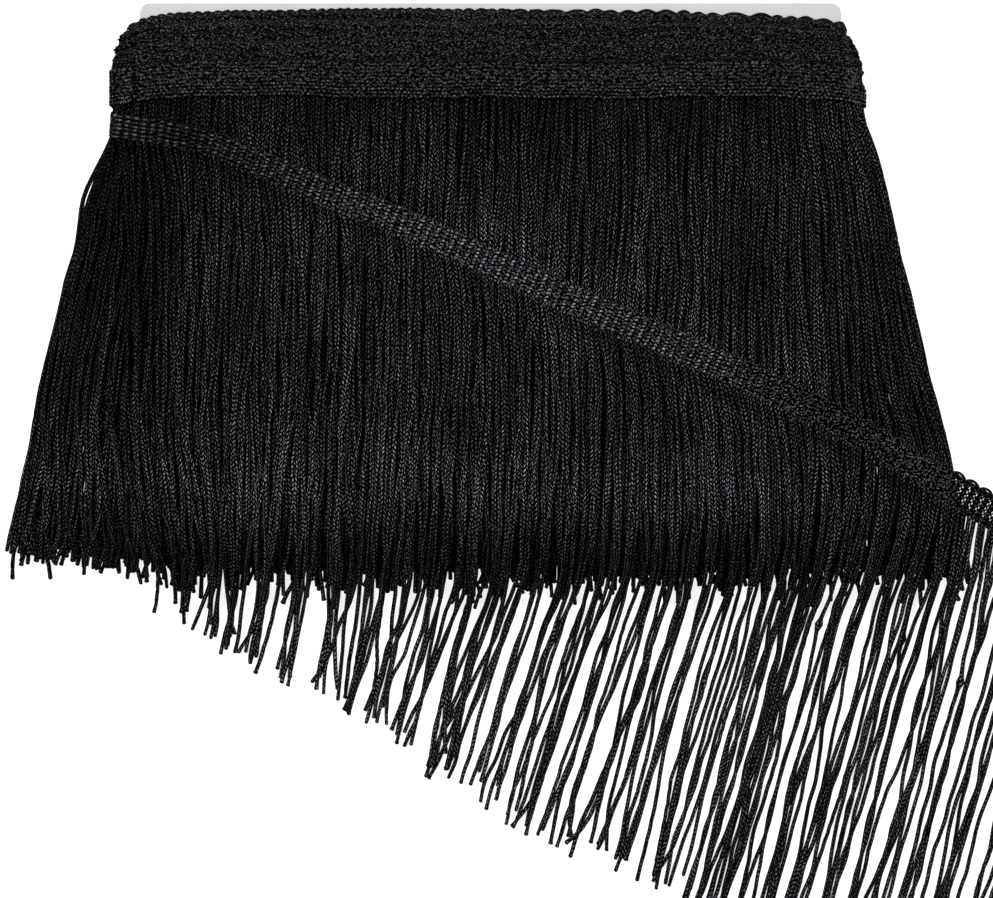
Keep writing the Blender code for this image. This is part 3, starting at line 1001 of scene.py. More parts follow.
def face_level(x, depth):
    """Height of the wound fringe's face, highest over the card and low at its flared edges."""
    edge = flare_edge(x, depth)
    past = np.clip((np.abs(x) - RING_HALF) / (edge - RING_HALF), 0.0, 1.0)
    tip = tip_mean(x)
    droop = ease(depth, CARD_FOOT - DROOP_ABOVE, tip + DROOP_BELOW)
    high = face_height(depth) * (1 - TIP_DROOP * droop)
    return FLARE_EDGE + (high - FLARE_EDGE) * (1 - past * past)


def lying_level(x, y, reach=0.003):
    """Height of the package near a point, and 0 beyond its edges."""
    highest = np.zeros(np.broadcast(x, y).shape)
    for dx in (-reach, 0.0, reach):
        for dy in (-reach, 0.0, reach):
            depth = -(y + dy)
            inside = (np.abs(x + dx) < flare_edge(x + dx, depth)) & (depth < tip_mean(x))
            highest = np.maximum(highest, np.where(inside, face_level(x + dx, depth), 0.0))
    return highest


def smoothed(values, reach):
    """Moving average along the last axis."""
    weights = np.hanning(2 * reach + 3)[1:-1]
    weights = weights / weights.sum()
    wide = np.pad(values, [(0, 0)] * (values.ndim - 1) + [(reach, reach)], mode="edge")
    return np.apply_along_axis(lambda row: np.convolve(row, weights, mode="valid"), -1, wide)


def let_fall(level, stride, slope):
    """The same heights, raised where they would fall or rise more steeply than the slope."""
    level = level.copy()
    for index in range(1, level.shape[-1]):
        level[..., index] = np.maximum(level[..., index], level[..., index - 1] - slope * stride)
    for index in range(level.shape[-1] - 2, -1, -1):
        level[..., index] = np.maximum(level[..., index], level[..., index + 1] - slope * stride)
    return level


def clumped(seed, at, distance, packed, grip, sizes, every):
    """Sideways shifts that draw neighbouring cords into clumps, which change on the way down.

    packed is the distance between cords in a clump, grip how firmly they are drawn, sizes the
    fewest and most cords in one, and every the distance from one set of clumps to the next.
    """
    rng = np.random.default_rng(seed)
    shift = np.zeros(distance.shape)
    for stage in range(int(distance.max() / every) + 1):
        first = -int(rng.integers(0, 3))
        while first < len(at):
            size = int(rng.integers(sizes[0], sizes[1] + 1))
            members = np.arange(max(first, 0), min(max(first + size, 0), len(at)))
            first += size
            if len(members) == 0:
                continue
            if len(members) > 2 and rng.random() < CLUMP_CROSSED:
                members[[0, 1]] = members[[1, 0]]
            middle = at[members].mean() + rng.normal(0, CLUMP_OFF)
            places = (np.arange(len(members)) - (len(members) - 1) / 2) * packed
            places = places * rng.uniform(*CLUMP_LOOSER)
            hold = grip * rng.uniform(*CLUMP_HOLD)
            centre = (stage + CLUMP_MIDDLE + rng.uniform(-CLUMP_SHIFT, CLUMP_SHIFT)) * every
            window = np.exp(-((distance[members] - centre) / (CLUMP_LENGTH * every)) ** 2)
            shift[members] += hold * window * (middle + places - at[members])[:, None]
    return shift


# ---------------------------------------------------------------- cords
TURNED = 6.28                # the most that a cord is turned at its root, in radians
TWISTED = 7.0                # and how far it twists on its way
TWIST_WAVES = 4
TWIST_STEP = 5.7
CORD_SHEENS = (0.46, 0.86)        # the weakest and strongest painted sheen of a cord
SHEEN_MEAN = 0.65            # mean and size of the changes of painted sheen along a cord
SHEEN_CHANGE = 0.26
SHEEN_WAVES = 9
SHEEN_STEP = 0.31
THICKNESSES = (0.93, 1.07)   # the thinnest and thickest cords
CUT_NECK = 0.94              # thickness just above a cut end, and of the frayed end itself
CUT_FRAY = (0.85, 1.03)
CUT_SPLAY = (0.80, 1.25)
CUT_STEPS = (1.4, 0.5)       # lengths of the two steps that close a cut end, in radii
ROOT_STEP = 0.3


def cut_end(rng, count, points):
    """Relative thickness along each cord: even, a little frayed at the cut, then closed."""
    thick = np.ones((count, points)) * rng.uniform(*THICKNESSES, (count, 1))
    thick[:, -4] *= CUT_NECK
    thick[:, -3] *= rng.uniform(*CUT_FRAY, count)
    thick[:, -2] *= rng.uniform(*CUT_SPLAY, count)
    thick[:, -1] = 0.0
    thick[:, 0] = 0.0
    return thick


def unit(vectors):
    return vectors / np.linalg.norm(vectors, axis=1, keepdims=True)


def close_ends(paths):
    """Moves the last points together, so that each cord is cut square and closed."""
    paths = paths.copy()
    last = unit(paths[:, -3] - paths[:, -4])
    paths[:, -2] = paths[:, -3] + last * CORD_RADIUS * CUT_STEPS[0]
    paths[:, -1] = paths[:, -2] + last * CORD_RADIUS * CUT_STEPS[1]
    paths[:, 0] = paths[:, 1] - unit(paths[:, 1] - paths[:, 0]) * CORD_RADIUS * ROOT_STEP
    return paths


def make_cords(name, paths, thick, turn, painted_sheen, sides, gauge):
    """One piece of many cords from an array of paths: cords by points by 3."""
    count, points = paths.shape[:2]
    index = np.arange(count * points).reshape(count, points)
    edges = np.stack([index[:, :-1].ravel(), index[:, 1:].ravel()], axis=1)
    fields = {label: np.broadcast_to(values, (count, points)).ravel()
              for label, values in (("thick", thick), ("turn", turn), ("painted_sheen", painted_sheen))}
    inputs = {"Sides": sides, "Radius": gauge[0], "Stitch": gauge[1], "Finish": finishes["cord"]}
    return grown_piece(name, paths.reshape(-1, 3), edges.tolist(), fields, trees["cords"], inputs)


def dress(name, paths, rng, sides, sheen, bulk):
    """Cut ends, twist and painted sheen (the cords' painted light and shade) for a set of cords, and
    the piece made from them.
    """
    count, points = paths.shape[:2]
    thick = cut_end(rng, count, points) * bulk
    number = np.arange(count)[:, None]
    way = np.linspace(0, 1, points)
    turn = rng.uniform(0, TURNED, (count, 1))
    turn = turn + TWISTED * drift(rng.integers(1, 9999), number * TWIST_STEP, way * TWIST_WAVES)
    painted_sheen = rng.uniform(*CORD_SHEENS, (count, 1)) * sheen
    change = drift(rng.integers(1, 9999), number * SHEEN_STEP, way * SHEEN_WAVES)
    painted_sheen = painted_sheen * (SHEEN_MEAN + SHEEN_CHANGE * change)
    # paints light and shade by place: the strength of the painted sheen at each point of each cord
    painted_sheen = painted_sheen * sheen_at(paths[..., 0], paths[..., 1])
    paths = close_ends(paths)
    paths[..., 2] = np.maximum(paths[..., 2], CORD_RADIUS * thick)
    return make_cords(name, paths, thick, turn, painted_sheen, sides, CORD_GAUGE)


# ---------------------------------------------------------------- wound fringe
def way_down(points):
    """Shares of a hanging cord's length; the last two points are left for its cut end."""
    return np.minimum(np.linspace(0.0, (points - 1) / (points - 3), points), 1.0)


def wound_roots(rng, count, under, gather):
    """Where a layer's cords leave the heading: shares of its half width, and places across."""
    share = (np.arange(count) + 0.5) / count * 2 - 1
    share = share + ROOT_CROWDING * np.sin(math.pi * share)
    uneven = rng.uniform(-ROOT_UNEVEN, ROOT_UNEVEN, count) * 2 / count
    share = np.clip(share + uneven * min(1, ROOT_LEAST + gather), -1, 1)
    return share, share * (FLARE_ROOT - CORD_RADIUS - UNDER_NARROWER * under)


def wound_tips(rng, root, under, gather):
    """Depth of each cord's tip: uneven, sooner in the under layers, and deeper for a few."""
    count = len(root)
    inner = gather == 0
    shorter = UNDER_SHORTER * under + inner * INNER_SHORTER
    even = TIP_EVEN + (1 - TIP_EVEN) * ease(root, *TIP_EVEN_X)
    spread = TIP_SPREAD * (INNER_SPREAD if inner else 1.0) * even
    off = np.clip(rng.normal(0, 1, count), -TIP_MOST, TIP_MOST) * spread
    return tip_mean(root) - shorter + off + some(rng, count, *LONG_TIPS) * (gather > LONG_FROM)


def flared(share, root, depth):
    """Places across at each depth: the cords hang straight, and only the outermost flare."""
    power = np.where(share < 0, *FLARE_POWER)
    reach = (flare_edge(root, depth) - FLARE_ROOT) * (np.abs(share) ** power)
    lean = LEFT_LEAN * ease(depth, *LEFT_LEAN_DEPTHS) * (1 - share ** 4)
    return root + np.sign(root) * reach - lean


def crowded(x, root, depth):
    """Draws the outermost cords outwards low at the right edge, and slants them at the left."""
    inside = np.maximum(flare_edge(root, depth) - x, 0.0)
    near = ease(root, *RIGHT_ROOTS) * (1 - ease(inside, *RIGHT_INSIDE))
    x = x + RIGHT_CROWDING * inside * near * hump(depth, *RIGHT_DEPTHS)
    return x + LEFT_SLANT * ease(depth, *LEFT_DEPTHS) * (1 - ease(root, *LEFT_ROOTS))


def bent_tips(rng, x, t, gather):
    """Bends the cords near their tips, and hooks the very ends of some."""
    count = len(x)
    bent = rng.normal(0, BENT, count) + some(rng, count, *BENT_MORE)
    x = x + bent[:, None] * ease(t, *BENT_FROM) * (1.0 if gather else BENT_INNER)
    hooked = some(rng, count, *HOOKED) * (gather > 0)
    return x + hooked[:, None] * ease(t, *HOOKED_FROM)


def wound_layer(number, face, under, count, points, gather):
    """Cords of one turn's front or back: straight down, flaring only near the package's ends."""
    rng = np.random.default_rng(WOUND_SEED + number)
    share, root = wound_roots(rng, count, under, gather)
    tip = wound_tips(rng, root, under, gather)[:, None]
    t = way_down(points)
    start = HEADING_FOOT - ROOT_HIDDEN - under - CORD_LENGTH / points
    depth = start + (tip - start) * t
    side = clumped(WOUND_CLUMP_SEED + number, root, depth - start, WOUND_PACKED,
                   WOUND_GRIP * gather, WOUND_CLUMP, WOUND_STAGE)
    share = share[:, None]
    root = root[:, None]
    each = np.arange(count)[:, None]
    x = flared(share, root, depth)
    if gather == 1:
        x = crowded(x, root, depth)
    side = side + swing(WOUND_SWING, root, depth, number)
    side = waved(side, WOUND_WAVES, each, depth, number)
    x = x + side * ease(depth - HEADING_FOOT, *HEADING_HOLD) * min(1, WAVES_LEAST + gather)
    x = bent_tips(rng, x, t, gather)
    edge = flare_edge(x, depth) - CORD_RADIUS
    x = np.clip(x, -edge - FLARE_LOOSE, edge + FLARE_LOOSE)
    lift = waved(0.0, WOUND_LIFT, each, depth, number)
    if face > 0:
        z = face_level(x, depth) - CORD_RADIUS - under + lift
    else:
        z = CORD_RADIUS + under + np.abs(lift) * (under > 0)
    z = np.maximum(z, CORD_RADIUS * (1.0 + rng.uniform(0, LYING_HIGHER, count)[:, None]))
    return np.stack([x, -depth, z], axis=-1), rng


def end_layer(side, count, points):
    """Cords that hang from a rounded end of the turns and spread past the card."""
    rng = np.random.default_rng(END_SEED + side)
    angle = np.linspace(*END_ANGLES, count) + rng.uniform(-END_UNEVEN, END_UNEVEN, count)
    reach = SLOT_HALF + STACK - CORD_RADIUS - rng.uniform(0.0, END_DEEP, count)
    root_x = RING_HALF + side * END_SHIFT + (reach - END_TUCK) * np.cos(angle) * END_SQUEEZE
    root_x = root_x[:, None]
    root_z = (CARD_LEVEL + reach * np.sin(angle))[:, None]
    t = way_down(points)
    start = HEADING_FOOT - END_ABOVE
    tip = tip_mean(side * FLARE_ROOT) + rng.uniform(*END_TIPS, count)
    depth = start + (tip[:, None] - start) * t
    spread = rng.uniform(*END_SPREAD, count)[:, None]
    edge = (edge_left(depth) if side < 0 else edge_right(depth)) - CORD_RADIUS
    x = root_x + (edge - root_x) * spread * ease(depth, start, END_SPREAD_DEPTH)
    each = np.arange(count)[:, None]
    x = x + ease(t, *END_WAVES_FROM) * waved(0.0, END_WAVES, each, depth, side)
    x = np.minimum(x, edge)
    for at_side, stray, middle, length in END_STRAYS:
        if at_side == side:
            strays = each % END_STRAY_EVERY == END_STRAY_FIRST
            x = x + strays * stray * np.exp(-((depth - middle) / length) ** 2)
    goal = CORD_RADIUS + rng.uniform(0.0, END_THICKNESS, count)[:, None]
    z = root_z + (goal - root_z) * ease(t, *END_SINKS)
    return np.stack([side * x, -depth, z], axis=-1), rng


def make_wound_fringe():
    pieces = []
    for number, (name, face, under, count, points, sides, gather, bulk) in enumerate(WOUND_LAYERS):
        paths, rng = wound_layer(number, face, under, count, points, gather)
        pieces.append(dress("wound_cords_" + name, paths, rng, sides, 1.0, bulk))
    ends = [end_layer(side, END_CORDS, END_POINTS) for side in (-1, 1)]
    paths = np.concatenate([each[0] for each in ends])
    pieces.append(dress("wound_cords_ends", paths, ends[0][1], END_SIDES, 1.0, 1.0))
    for piece in pieces:
        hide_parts("wound_fringe")
    return pieces


# ---------------------------------------------------------------- loose heading's path
def loose_line():
    """Stations along the loose heading: position, width, the cords' two leans and distance."""
    rows = np.array(LOOSE_PATH)
    rows = np.vstack([2 * rows[0] - rows[1], rows, 2 * rows[-1] - rows[-2]])
    dense = []
    t = np.linspace(0, 1, CURVE_STEPS, endpoint=False)[:, None]
    for a, b, c, d in zip(rows, rows[1:], rows[2:], rows[3:]):
        # The curve runs from b to c, and its slopes there come from the rows on both sides.
        dense.append(0.5 * (2 * b + (c - a) * t + (2 * a - 5 * b + 4 * c - d) * t ** 2
                            + (3 * b - a - 3 * c + d) * t ** 3))
    dense = np.vstack(dense + [rows[-2][None]])
    walked = np.concatenate([[0], np.cumsum(np.hypot(*np.diff(dense[:, :2], axis=0).T))])
    at = np.arange(0, walked[-1], LOOSE_SPACING)
    x, y, width, lean, past_lean = (np.interp(at, walked, dense[:, k]) for k in range(5))
    heading = np.arctan2(np.gradient(y), np.gradient(x))
    level = np.zeros(len(at))
    for share in (-0.5, 0.0, 0.5):
        level = np.maximum(level, lying_level(x - np.sin(heading) * width * share,
                                              y + np.cos(heading) * width * share))
    level = let_fall(level, LOOSE_SPACING, LOOSE_SLOPE)
    level = smoothed(level, 6) + LOOSE_GAP + HEADING_THICKNESS / 2
    return np.stack([x, y, level], axis=1), width, lean, past_lean, at


def turn_in(first, width):
    """The stretch that comes from the back turns round the left end to the first station."""
    degrees = np.linspace(*WRAP_ANGLES, WRAP_POINTS)
    angle = np.radians(degrees)
    x = -RING_HALF - WRAP_REACH * np.cos(angle)
    z = CARD_LEVEL + (first[2] - CARD_LEVEL) * np.sin(angle)
    join = ease(degrees, 0, 90)
    x = x + (first[0] + RING_HALF) * WRAP_JOIN * join
    y = first[1] + WRAP_DROP * (1 - ease(degrees, *WRAP_ANGLES))
    return np.stack([x, y, z], axis=1), np.full(len(angle), width)


def strip_frames(points, round_end):
    """Directions at each station of a strip: along it, across it and out of its face."""
    along = unit(np.gradient(points, axis=0))
    out = np.zeros_like(points)
    out[:, 2] = 1.0
    out[:round_end, 0] = points[:round_end, 0] + RING_HALF
    out[:round_end, 2] = points[:round_end, 2] - CARD_LEVEL
    out = smoothed(unit(out).T, 4).T
    across = unit(np.cross(out, along))
    return along, across, np.cross(along, across)


class Strip:
    """A heading as a strip in space; place() finds points by distance and share of its width."""

    def __init__(self, points, widths, round_end):
        self.points = points
        self.widths = widths
        self.along, self.across, self.out = strip_frames(points, round_end)
        steps = np.linalg.norm(np.diff(points, axis=0), axis=1)
        self.distance = np.concatenate([[0], np.cumsum(steps)])
        self.length = self.distance[-1]
        self.start = self.distance[round_end]

    def read(self, field, at):
        return np.stack([np.interp(at, self.distance, field[:, k]) for k in range(3)], axis=-1)

    def width(self, at):
        return np.interp(at, self.distance, self.widths)

    def place(self, at, share, lift=0.0, beyond=0.0):
        """Points at a distance, a share of the half width and more beyond, lifted off the face."""
        at, share = np.broadcast_arrays(at, share)
        side = share * self.width(at) / 2 + beyond
        return (self.read(self.points, at) + self.read(self.across, at) * side[..., None]
                + self.read(self.out, at) * np.asarray(lift)[..., None])


# ---------------------------------------------------------------- headings
UP = np.array([0.0, 1.0, 0.0])


class Stitches:
    """Collects stitches: where each lies, its direction, its face, its size and the strength of the
    highlight painted into its colour.
    """

    def __init__(self):
        self.parts = []

    def add(self, spot, run, out, half_length, half_width, half_height, painted_sheen, rng):
        """Half sizes are numbers or one value for each stitch."""
        count = len(spot)
        size = np.empty((count, 3))
        size[:, 0] = half_height
        size[:, 1] = half_width
        size[:, 2] = half_length
        size *= rng.uniform(*STITCH_UNEVEN, (count, 3))
        self.parts.append((spot, run, out, size, painted_sheen))

    def make(self, name, sides, rings):
        spot, run, out, size, painted_sheen = (np.concatenate(part) for part in zip(*self.parts))
        fields = {"run": run, "out": out, "size": size, "painted_sheen": painted_sheen}
        inputs = {"Sides": sides, "Rings": rings, "Finish": finishes["stitch"]}
        return grown_piece(name, spot, [], fields, trees["stitches"], inputs)


def slanted(along, across, degrees):
    """Directions turned out of along towards across."""
    lean = np.radians(degrees)[:, None]
    return along * np.cos(lean) + across * np.sin(lean)


def either_way(rng, count, degrees):
    return np.where(rng.random(count) < 0.5, degrees, -degrees)


class Turn:
    """One turn of the heading round the card; point() finds places on it."""

    def __init__(self, number):
        self.number = number
        self.reach = SLOT_HALF + (number + 0.5) * TURN_THICKNESS
        self.bend = math.pi * self.reach
        self.total = 2 * (2 * RING_HALF + self.bend)

    def course(self, at):
        """Place along the card and outward direction (x, z) at a distance round the turn."""
        straight = 2 * RING_HALF
        d = np.mod(at, self.total)
        front = d < straight
        right = (d >= straight) & (d < straight + self.bend)
        back = (d >= straight + self.bend) & (d < 2 * straight + self.bend)
        angle = np.where(right, (d - straight) / self.reach,
                         (d - 2 * straight - self.bend) / self.reach + math.pi)
        angle = np.where(front, 0.0, np.where(back, math.pi, angle))
        middle = np.where(front, d - RING_HALF, RING_HALF)
        middle = np.where(back, RING_HALF - (d - straight - self.bend), middle)
        middle = np.where(d >= 2 * straight + self.bend, -RING_HALF, middle)
        return middle, np.sin(angle), np.cos(angle)

    def end(self, at):
        """1 where the turn goes round an end of the card, 0 on its faces."""
        return ease(np.abs(self.course(at)[1]), 0.0, 0.5)

    def top(self, x, at):
        """Height of the top edge: bowed like the first turn's, and wavering all the way round."""
        held = 1 - self.number / TURNS
        phase = 2 * math.pi * at / self.total
        waver = sum(size * np.sin(waves * phase + shift * self.number)
                    for size, waves, shift in EDGE_WAVER)
        waver = waver * (FIRST_WAVER if self.number == 0 else 1.0)
        return (HEADING_TOP - self.number * TURN_STEP + edge_bow(x) * held
                - END_SAG * ease(np.abs(x), *END_SAG_X) + waver)

    def point(self, at, drop, lift):
        """Points below the top edge by drop and out of the turn's middle by lift."""
        middle, out_x, out_z = self.course(at)
        left, right = END_BULGE[self.number]
        full = BULGE_LEAST + (1 - BULGE_LEAST) * ease(drop, *BULGE_RISES)
        full = full * (1 - ease(drop, *BULGE_FALLS))
        bulge = np.where(out_x < 0, left, right) * np.abs(out_x) * full
        x = middle + END_SHIFT * np.abs(out_x)
        x = x + out_x * END_SQUEEZE * (self.reach + lift) + out_x * bulge
        y = self.top(x, at) - drop
        z = CARD_LEVEL + out_z * (self.reach + lift)
        zero = np.zeros_like(x)
        out = np.stack([out_x, zero, out_z], axis=-1)
        along = np.stack([out_z, zero, -out_x], axis=-1)
        return np.stack([x, y, z], axis=-1), out, along

    def ground(self, first):
        """The turn as a closed band; its corners are numbered from the first."""
        at = np.arange(TURN_POINTS) / TURN_POINTS * self.total
        verts = []
        for drop, height in TURN_SECTION:
            drops = np.full(TURN_POINTS, drop)
            verts.extend(self.point(at, drops, height * HEADING_THICKNESS / 2)[0])
        faces = []
        for row in range(len(TURN_SECTION)):
            here = first + row * TURN_POINTS
            after = first + (row + 1) % len(TURN_SECTION) * TURN_POINTS
            for k in range(TURN_POINTS):
                ahead = (k + 1) % TURN_POINTS
                faces.append((here + k, after + k, after + ahead, here + ahead))
        return verts, faces

    def selvedge(self):
        """Paths of the yarns that arch along the top edge."""
        arches = round(self.total / SCALLOP)
        count = arches * YARN_POINTS + 1
        at = np.arange(count) / (count - 1) * self.total
        closed = np.sin(math.pi * at / self.total)
        seed = YARN_WANDER_SEED + self.number
        wander = YARN_WANDER * drift(seed, at / YARN_WANDER_LENGTH, 0) * closed
        phase = at / self.total * arches + YARN_SHIFT * self.number + wander
        small = SMALL_ARCH * np.abs(np.sin(2 * math.pi * phase))
        single = np.abs(np.sin(math.pi * phase)) ** YARN_ROUND
        arch = small + (single - small) * ease(self.course(at)[0], *ARCH_CHANGE)
        arch = arch * (1 - END_ARCH * self.end(at))
        yarns = TURN_YARNS if self.number < DOUBLE_YARNS else TURN_YARNS[:1]
        paths = []
        for rise, drop, lift in yarns:
            rough = drift(YARN_ROUGH_SEED + self.number, at / YARN_ROUGH_LENGTH,
                          rise * YARN_ROUGH_APART)
            rough = YARN_ROUGH * rough * closed
            paths.append(self.point(at, drop - rise * arch + rough, lift)[0])
        return paths

    def places(self, pitch, end_pitch):
        """Distances one stitch apart, wider apart on the ends and the back."""
        at = np.linspace(0, self.total, TURN_MEASURES)
        out_x, out_z = self.course(at)[1:]
        apart = np.where(out_z < BEHIND, pitch * BACK_PITCH, pitch)
        apart = np.where(np.abs(out_x) > ROUND_END, end_pitch, apart)
        counted = np.concatenate([[0], np.cumsum(np.diff(at) / apart[1:])])
        return np.interp(np.arange(int(counted[-1])), counted, at)

    def add_face(self, stitches, rng):
        """The last turn's face: rows of stitches, with finer ones every way between them."""
        half = HEADING_THICKNESS / 2
        length, *section = FACE_SIZE
        least, most, more = FACE_SHEEN
        for row in range(FACE_ROWS):
            even = ease(row, *FACE_EVEN)
            pitch = FACE_PITCH + FACE_PITCH_MORE * even
            at = self.places(pitch, FACE_PITCH_END)
            count = len(at)
            off = rng.uniform(-FACE_OFF, FACE_OFF, count) * (3 - 2 * even)
            at = at + (0.5 * (row % 2) + off) * pitch
            end = self.end(at)
            drop = FACE_TOP + row * FACE_ROW + rng.uniform(-FACE_DROP, FACE_DROP, count) * (2 - even)
            spot, out, along = self.point(at, drop, half - FACE_END_SINK * end)
            side = either_way(rng, count, FACE_SLANT) * (1 - even)
            run = slanted(along, UP, rng.normal(0, FACE_SPREAD, count) + side)
            painted_sheen = rng.uniform(0.0, 1.0, count) ** FACE_DULLER * (most + more * even) + least
            stitches.add(spot, run, out, length + FACE_END_LONGER * end, *section, painted_sheen, rng)
            at = at + (0.5 + rng.uniform(-BETWEEN_OFF, BETWEEN_OFF, count)) * pitch
            drop = drop + rng.uniform(-BETWEEN_DROP, BETWEEN_DROP, count) * FACE_ROW
            lift = half - BETWEEN_SINK - BETWEEN_END_SINK * end
            spot, out, along = self.point(at, drop, lift)
            run = slanted(along, UP, rng.normal(0, BETWEEN_SPREAD, count))
            painted_sheen = rng.uniform(*BETWEEN_SHEEN, count)
            stitches.add(spot, run, out, *BETWEEN_SIZE, painted_sheen, rng)

    def add_step(self, stitches, rng):
        """The rough rows of another turn's top, which stand out past the turn over it."""
        half = HEADING_THICKNESS / 2
        least, most = STEP_SHEEN
        for row in range(STEP_ROWS):
            at = self.places(STEP_PITCH, STEP_PITCH_END)
            count = len(at)
            at = at + rng.uniform(-0.5, 0.5, count) * STEP_PITCH
            drop = STEP_TOP + row * STEP_ROW + rng.normal(0, STEP_DROP, count)
            end = self.end(at)
            lift = half + rng.uniform(0, STEP_LIFT, count) * (1 - end) - STEP_END_SINK * end
            spot, out, along = self.point(at, np.maximum(drop, -STEP_HIGHEST), lift)
            side = either_way(rng, count, STEP_SLANT) * (1 - end)
            lean = rng.normal(0, STEP_SPREAD, count) * (1 - STEP_END_EVENER * end) + side
            run = slanted(along, UP, lean)
            painted_sheen = rng.uniform(0.0, 1.0, count) ** STEP_DULLER * most + least
            stitches.add(spot, run, out, *STEP_SIZE, painted_sheen, rng)


def make_wound_heading():
    """Six turns of the heading, each a little lower and further out than the one before."""
    rng = np.random.default_rng(WOUND_HEADING_SEED)
    verts = []
    faces = []
    yarns = []
    steps = Stitches()
    front = Stitches()
    for number in range(TURNS):
        turn = Turn(number)
        more_verts, more_faces = turn.ground(len(verts))
        verts += more_verts
        faces += more_faces
        yarns += turn.selvedge()
        if number == TURNS - 1:
            turn.add_face(front, rng)
        else:
            turn.add_step(steps, rng)
    ground = mesh_piece("wound_heading_ground", verts, faces, finishes["wound ground"])
    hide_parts("wound_heading")
    steps.make("wound_heading_steps", sides=6, rings=2)
    front.make("wound_heading_stitches", sides=5, rings=3)
    longest = max(len(yarn) for yarn in yarns)
    even = []
    for yarn in yarns:
        at = np.linspace(0, len(yarn) - 1, longest)
        columns = [np.interp(at, np.arange(len(yarn)), yarn[:, k]) for k in range(3)]
        even.append(np.stack(columns, axis=1))
    even = np.array(even)
    painted_sheen = rng.uniform(*YARN_SHEEN, (len(even), 1))
    make_cords("wound_heading_selvedge", even, thick=1.0, turn=0.0, painted_sheen=painted_sheen, sides=4,
               gauge=YARN_GAUGE)


# ---------------------------------------------------------------- loose heading
def repeat_places(strip):
    """Distances of the openwork's repeats, longer where the strip is pulled, and their number."""
    at = np.linspace(0, strip.length, LOOSE_MEASURES)
    apart = SCALLOP * pulled_repeat(at - strip.start)
    counted = np.concatenate([[0], np.cumsum(np.diff(at) / apart[1:])])
    return lambda count: np.interp(count, counted, at), int(counted[-1])


def ground_rows(pitch):
    """Rows of corners across the ground, as shares of its half width."""
    rows = [-1.0]
    for row in range(1, HOLE_ROWS):
        middle = -1 + GROUND_EDGE + pitch * row
        rows += [middle - HOLE_SHARE * pitch / 2, middle + HOLE_SHARE * pitch / 2]
    rows.append(1.0)
    return np.array(rows)


def ground_columns(repeats):
    """Columns of corners along the ground in repeats, how far each is shifted, and the period."""
    shares = [0.0]
    shifts = [0.0]
    for place in HOLE_COLUMNS:
        for apart, shift in ((-HOLE_APART, HOLE_STAGGER), (HOLE_APART, -HOLE_STAGGER)):
            shares += [place + apart - HOLE, place + apart + HOLE]
            shifts += [shift, shift]
    columns = [repeat + share for repeat in range(repeats) for share in shares]
    return np.array(columns + [float(repeats)]), np.array(shifts * repeats + [0.0]), len(shares)


def pierced_sheet(n_at, n_row, is_hole):
    """Faces of a thin grid of corners, upper and under, with walls round it and round its holes."""
    below = n_at * n_row

    def solid(i, j):
        return 0 <= i < n_at - 1 and 0 <= j < n_row - 1 and not is_hole(i, j)

    faces = []
    for i in range(n_at - 1):
        for j in range(n_row - 1):
            if not solid(i, j):
                continue
            ring = [(i, j), (i + 1, j), (i + 1, j + 1), (i, j + 1)]
            top = [a * n_row + b for a, b in ring]
            faces.append(tuple(top))
            faces.append(tuple(v + below for v in reversed(top)))
            for side, (a, b) in enumerate([(i, j - 1), (i + 1, j), (i, j + 1), (i - 1, j)]):
                if not solid(a, b):
                    v = top[side]
                    w = top[(side + 1) % 4]
                    faces.append((w, v, v + below, w + below))
    return faces


def make_loose_ground(strip, where, repeats):
    """The loose heading's ground: a thin strip with pairs of columns of small holes."""
    pitch = 2 * (1 - GROUND_EDGE) / HOLE_ROWS
    rows = ground_rows(pitch)
    columns, shifts, period = ground_columns(repeats)
    grid_at = np.repeat(where(columns - HOLE_COLUMNS[0])[:, None], len(rows), axis=1)
    inner = (np.abs(rows) < 0.999).astype(float)
    grid_row = rows[None, :] + shifts[:, None] * pitch * inner[None, :]
    half = LOOSE_THICKNESS / 2
    verts = np.concatenate([strip.place(grid_at, grid_row, lift).reshape(-1, 3)
                            for lift in (half, -half)])
    faces = pierced_sheet(*grid_at.shape, lambda i, j: i % period % 2 and j % 2 and j > 1)
    used = sorted({v for face in faces for v in face})
    renumber = {v: k for k, v in enumerate(used)}
    faces = [tuple(renumber[v] for v in face) for face in faces]
    ground = mesh_piece("loose_heading_ground", verts[used], faces, finishes["ground"])
    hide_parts("loose_heading")
    return ground


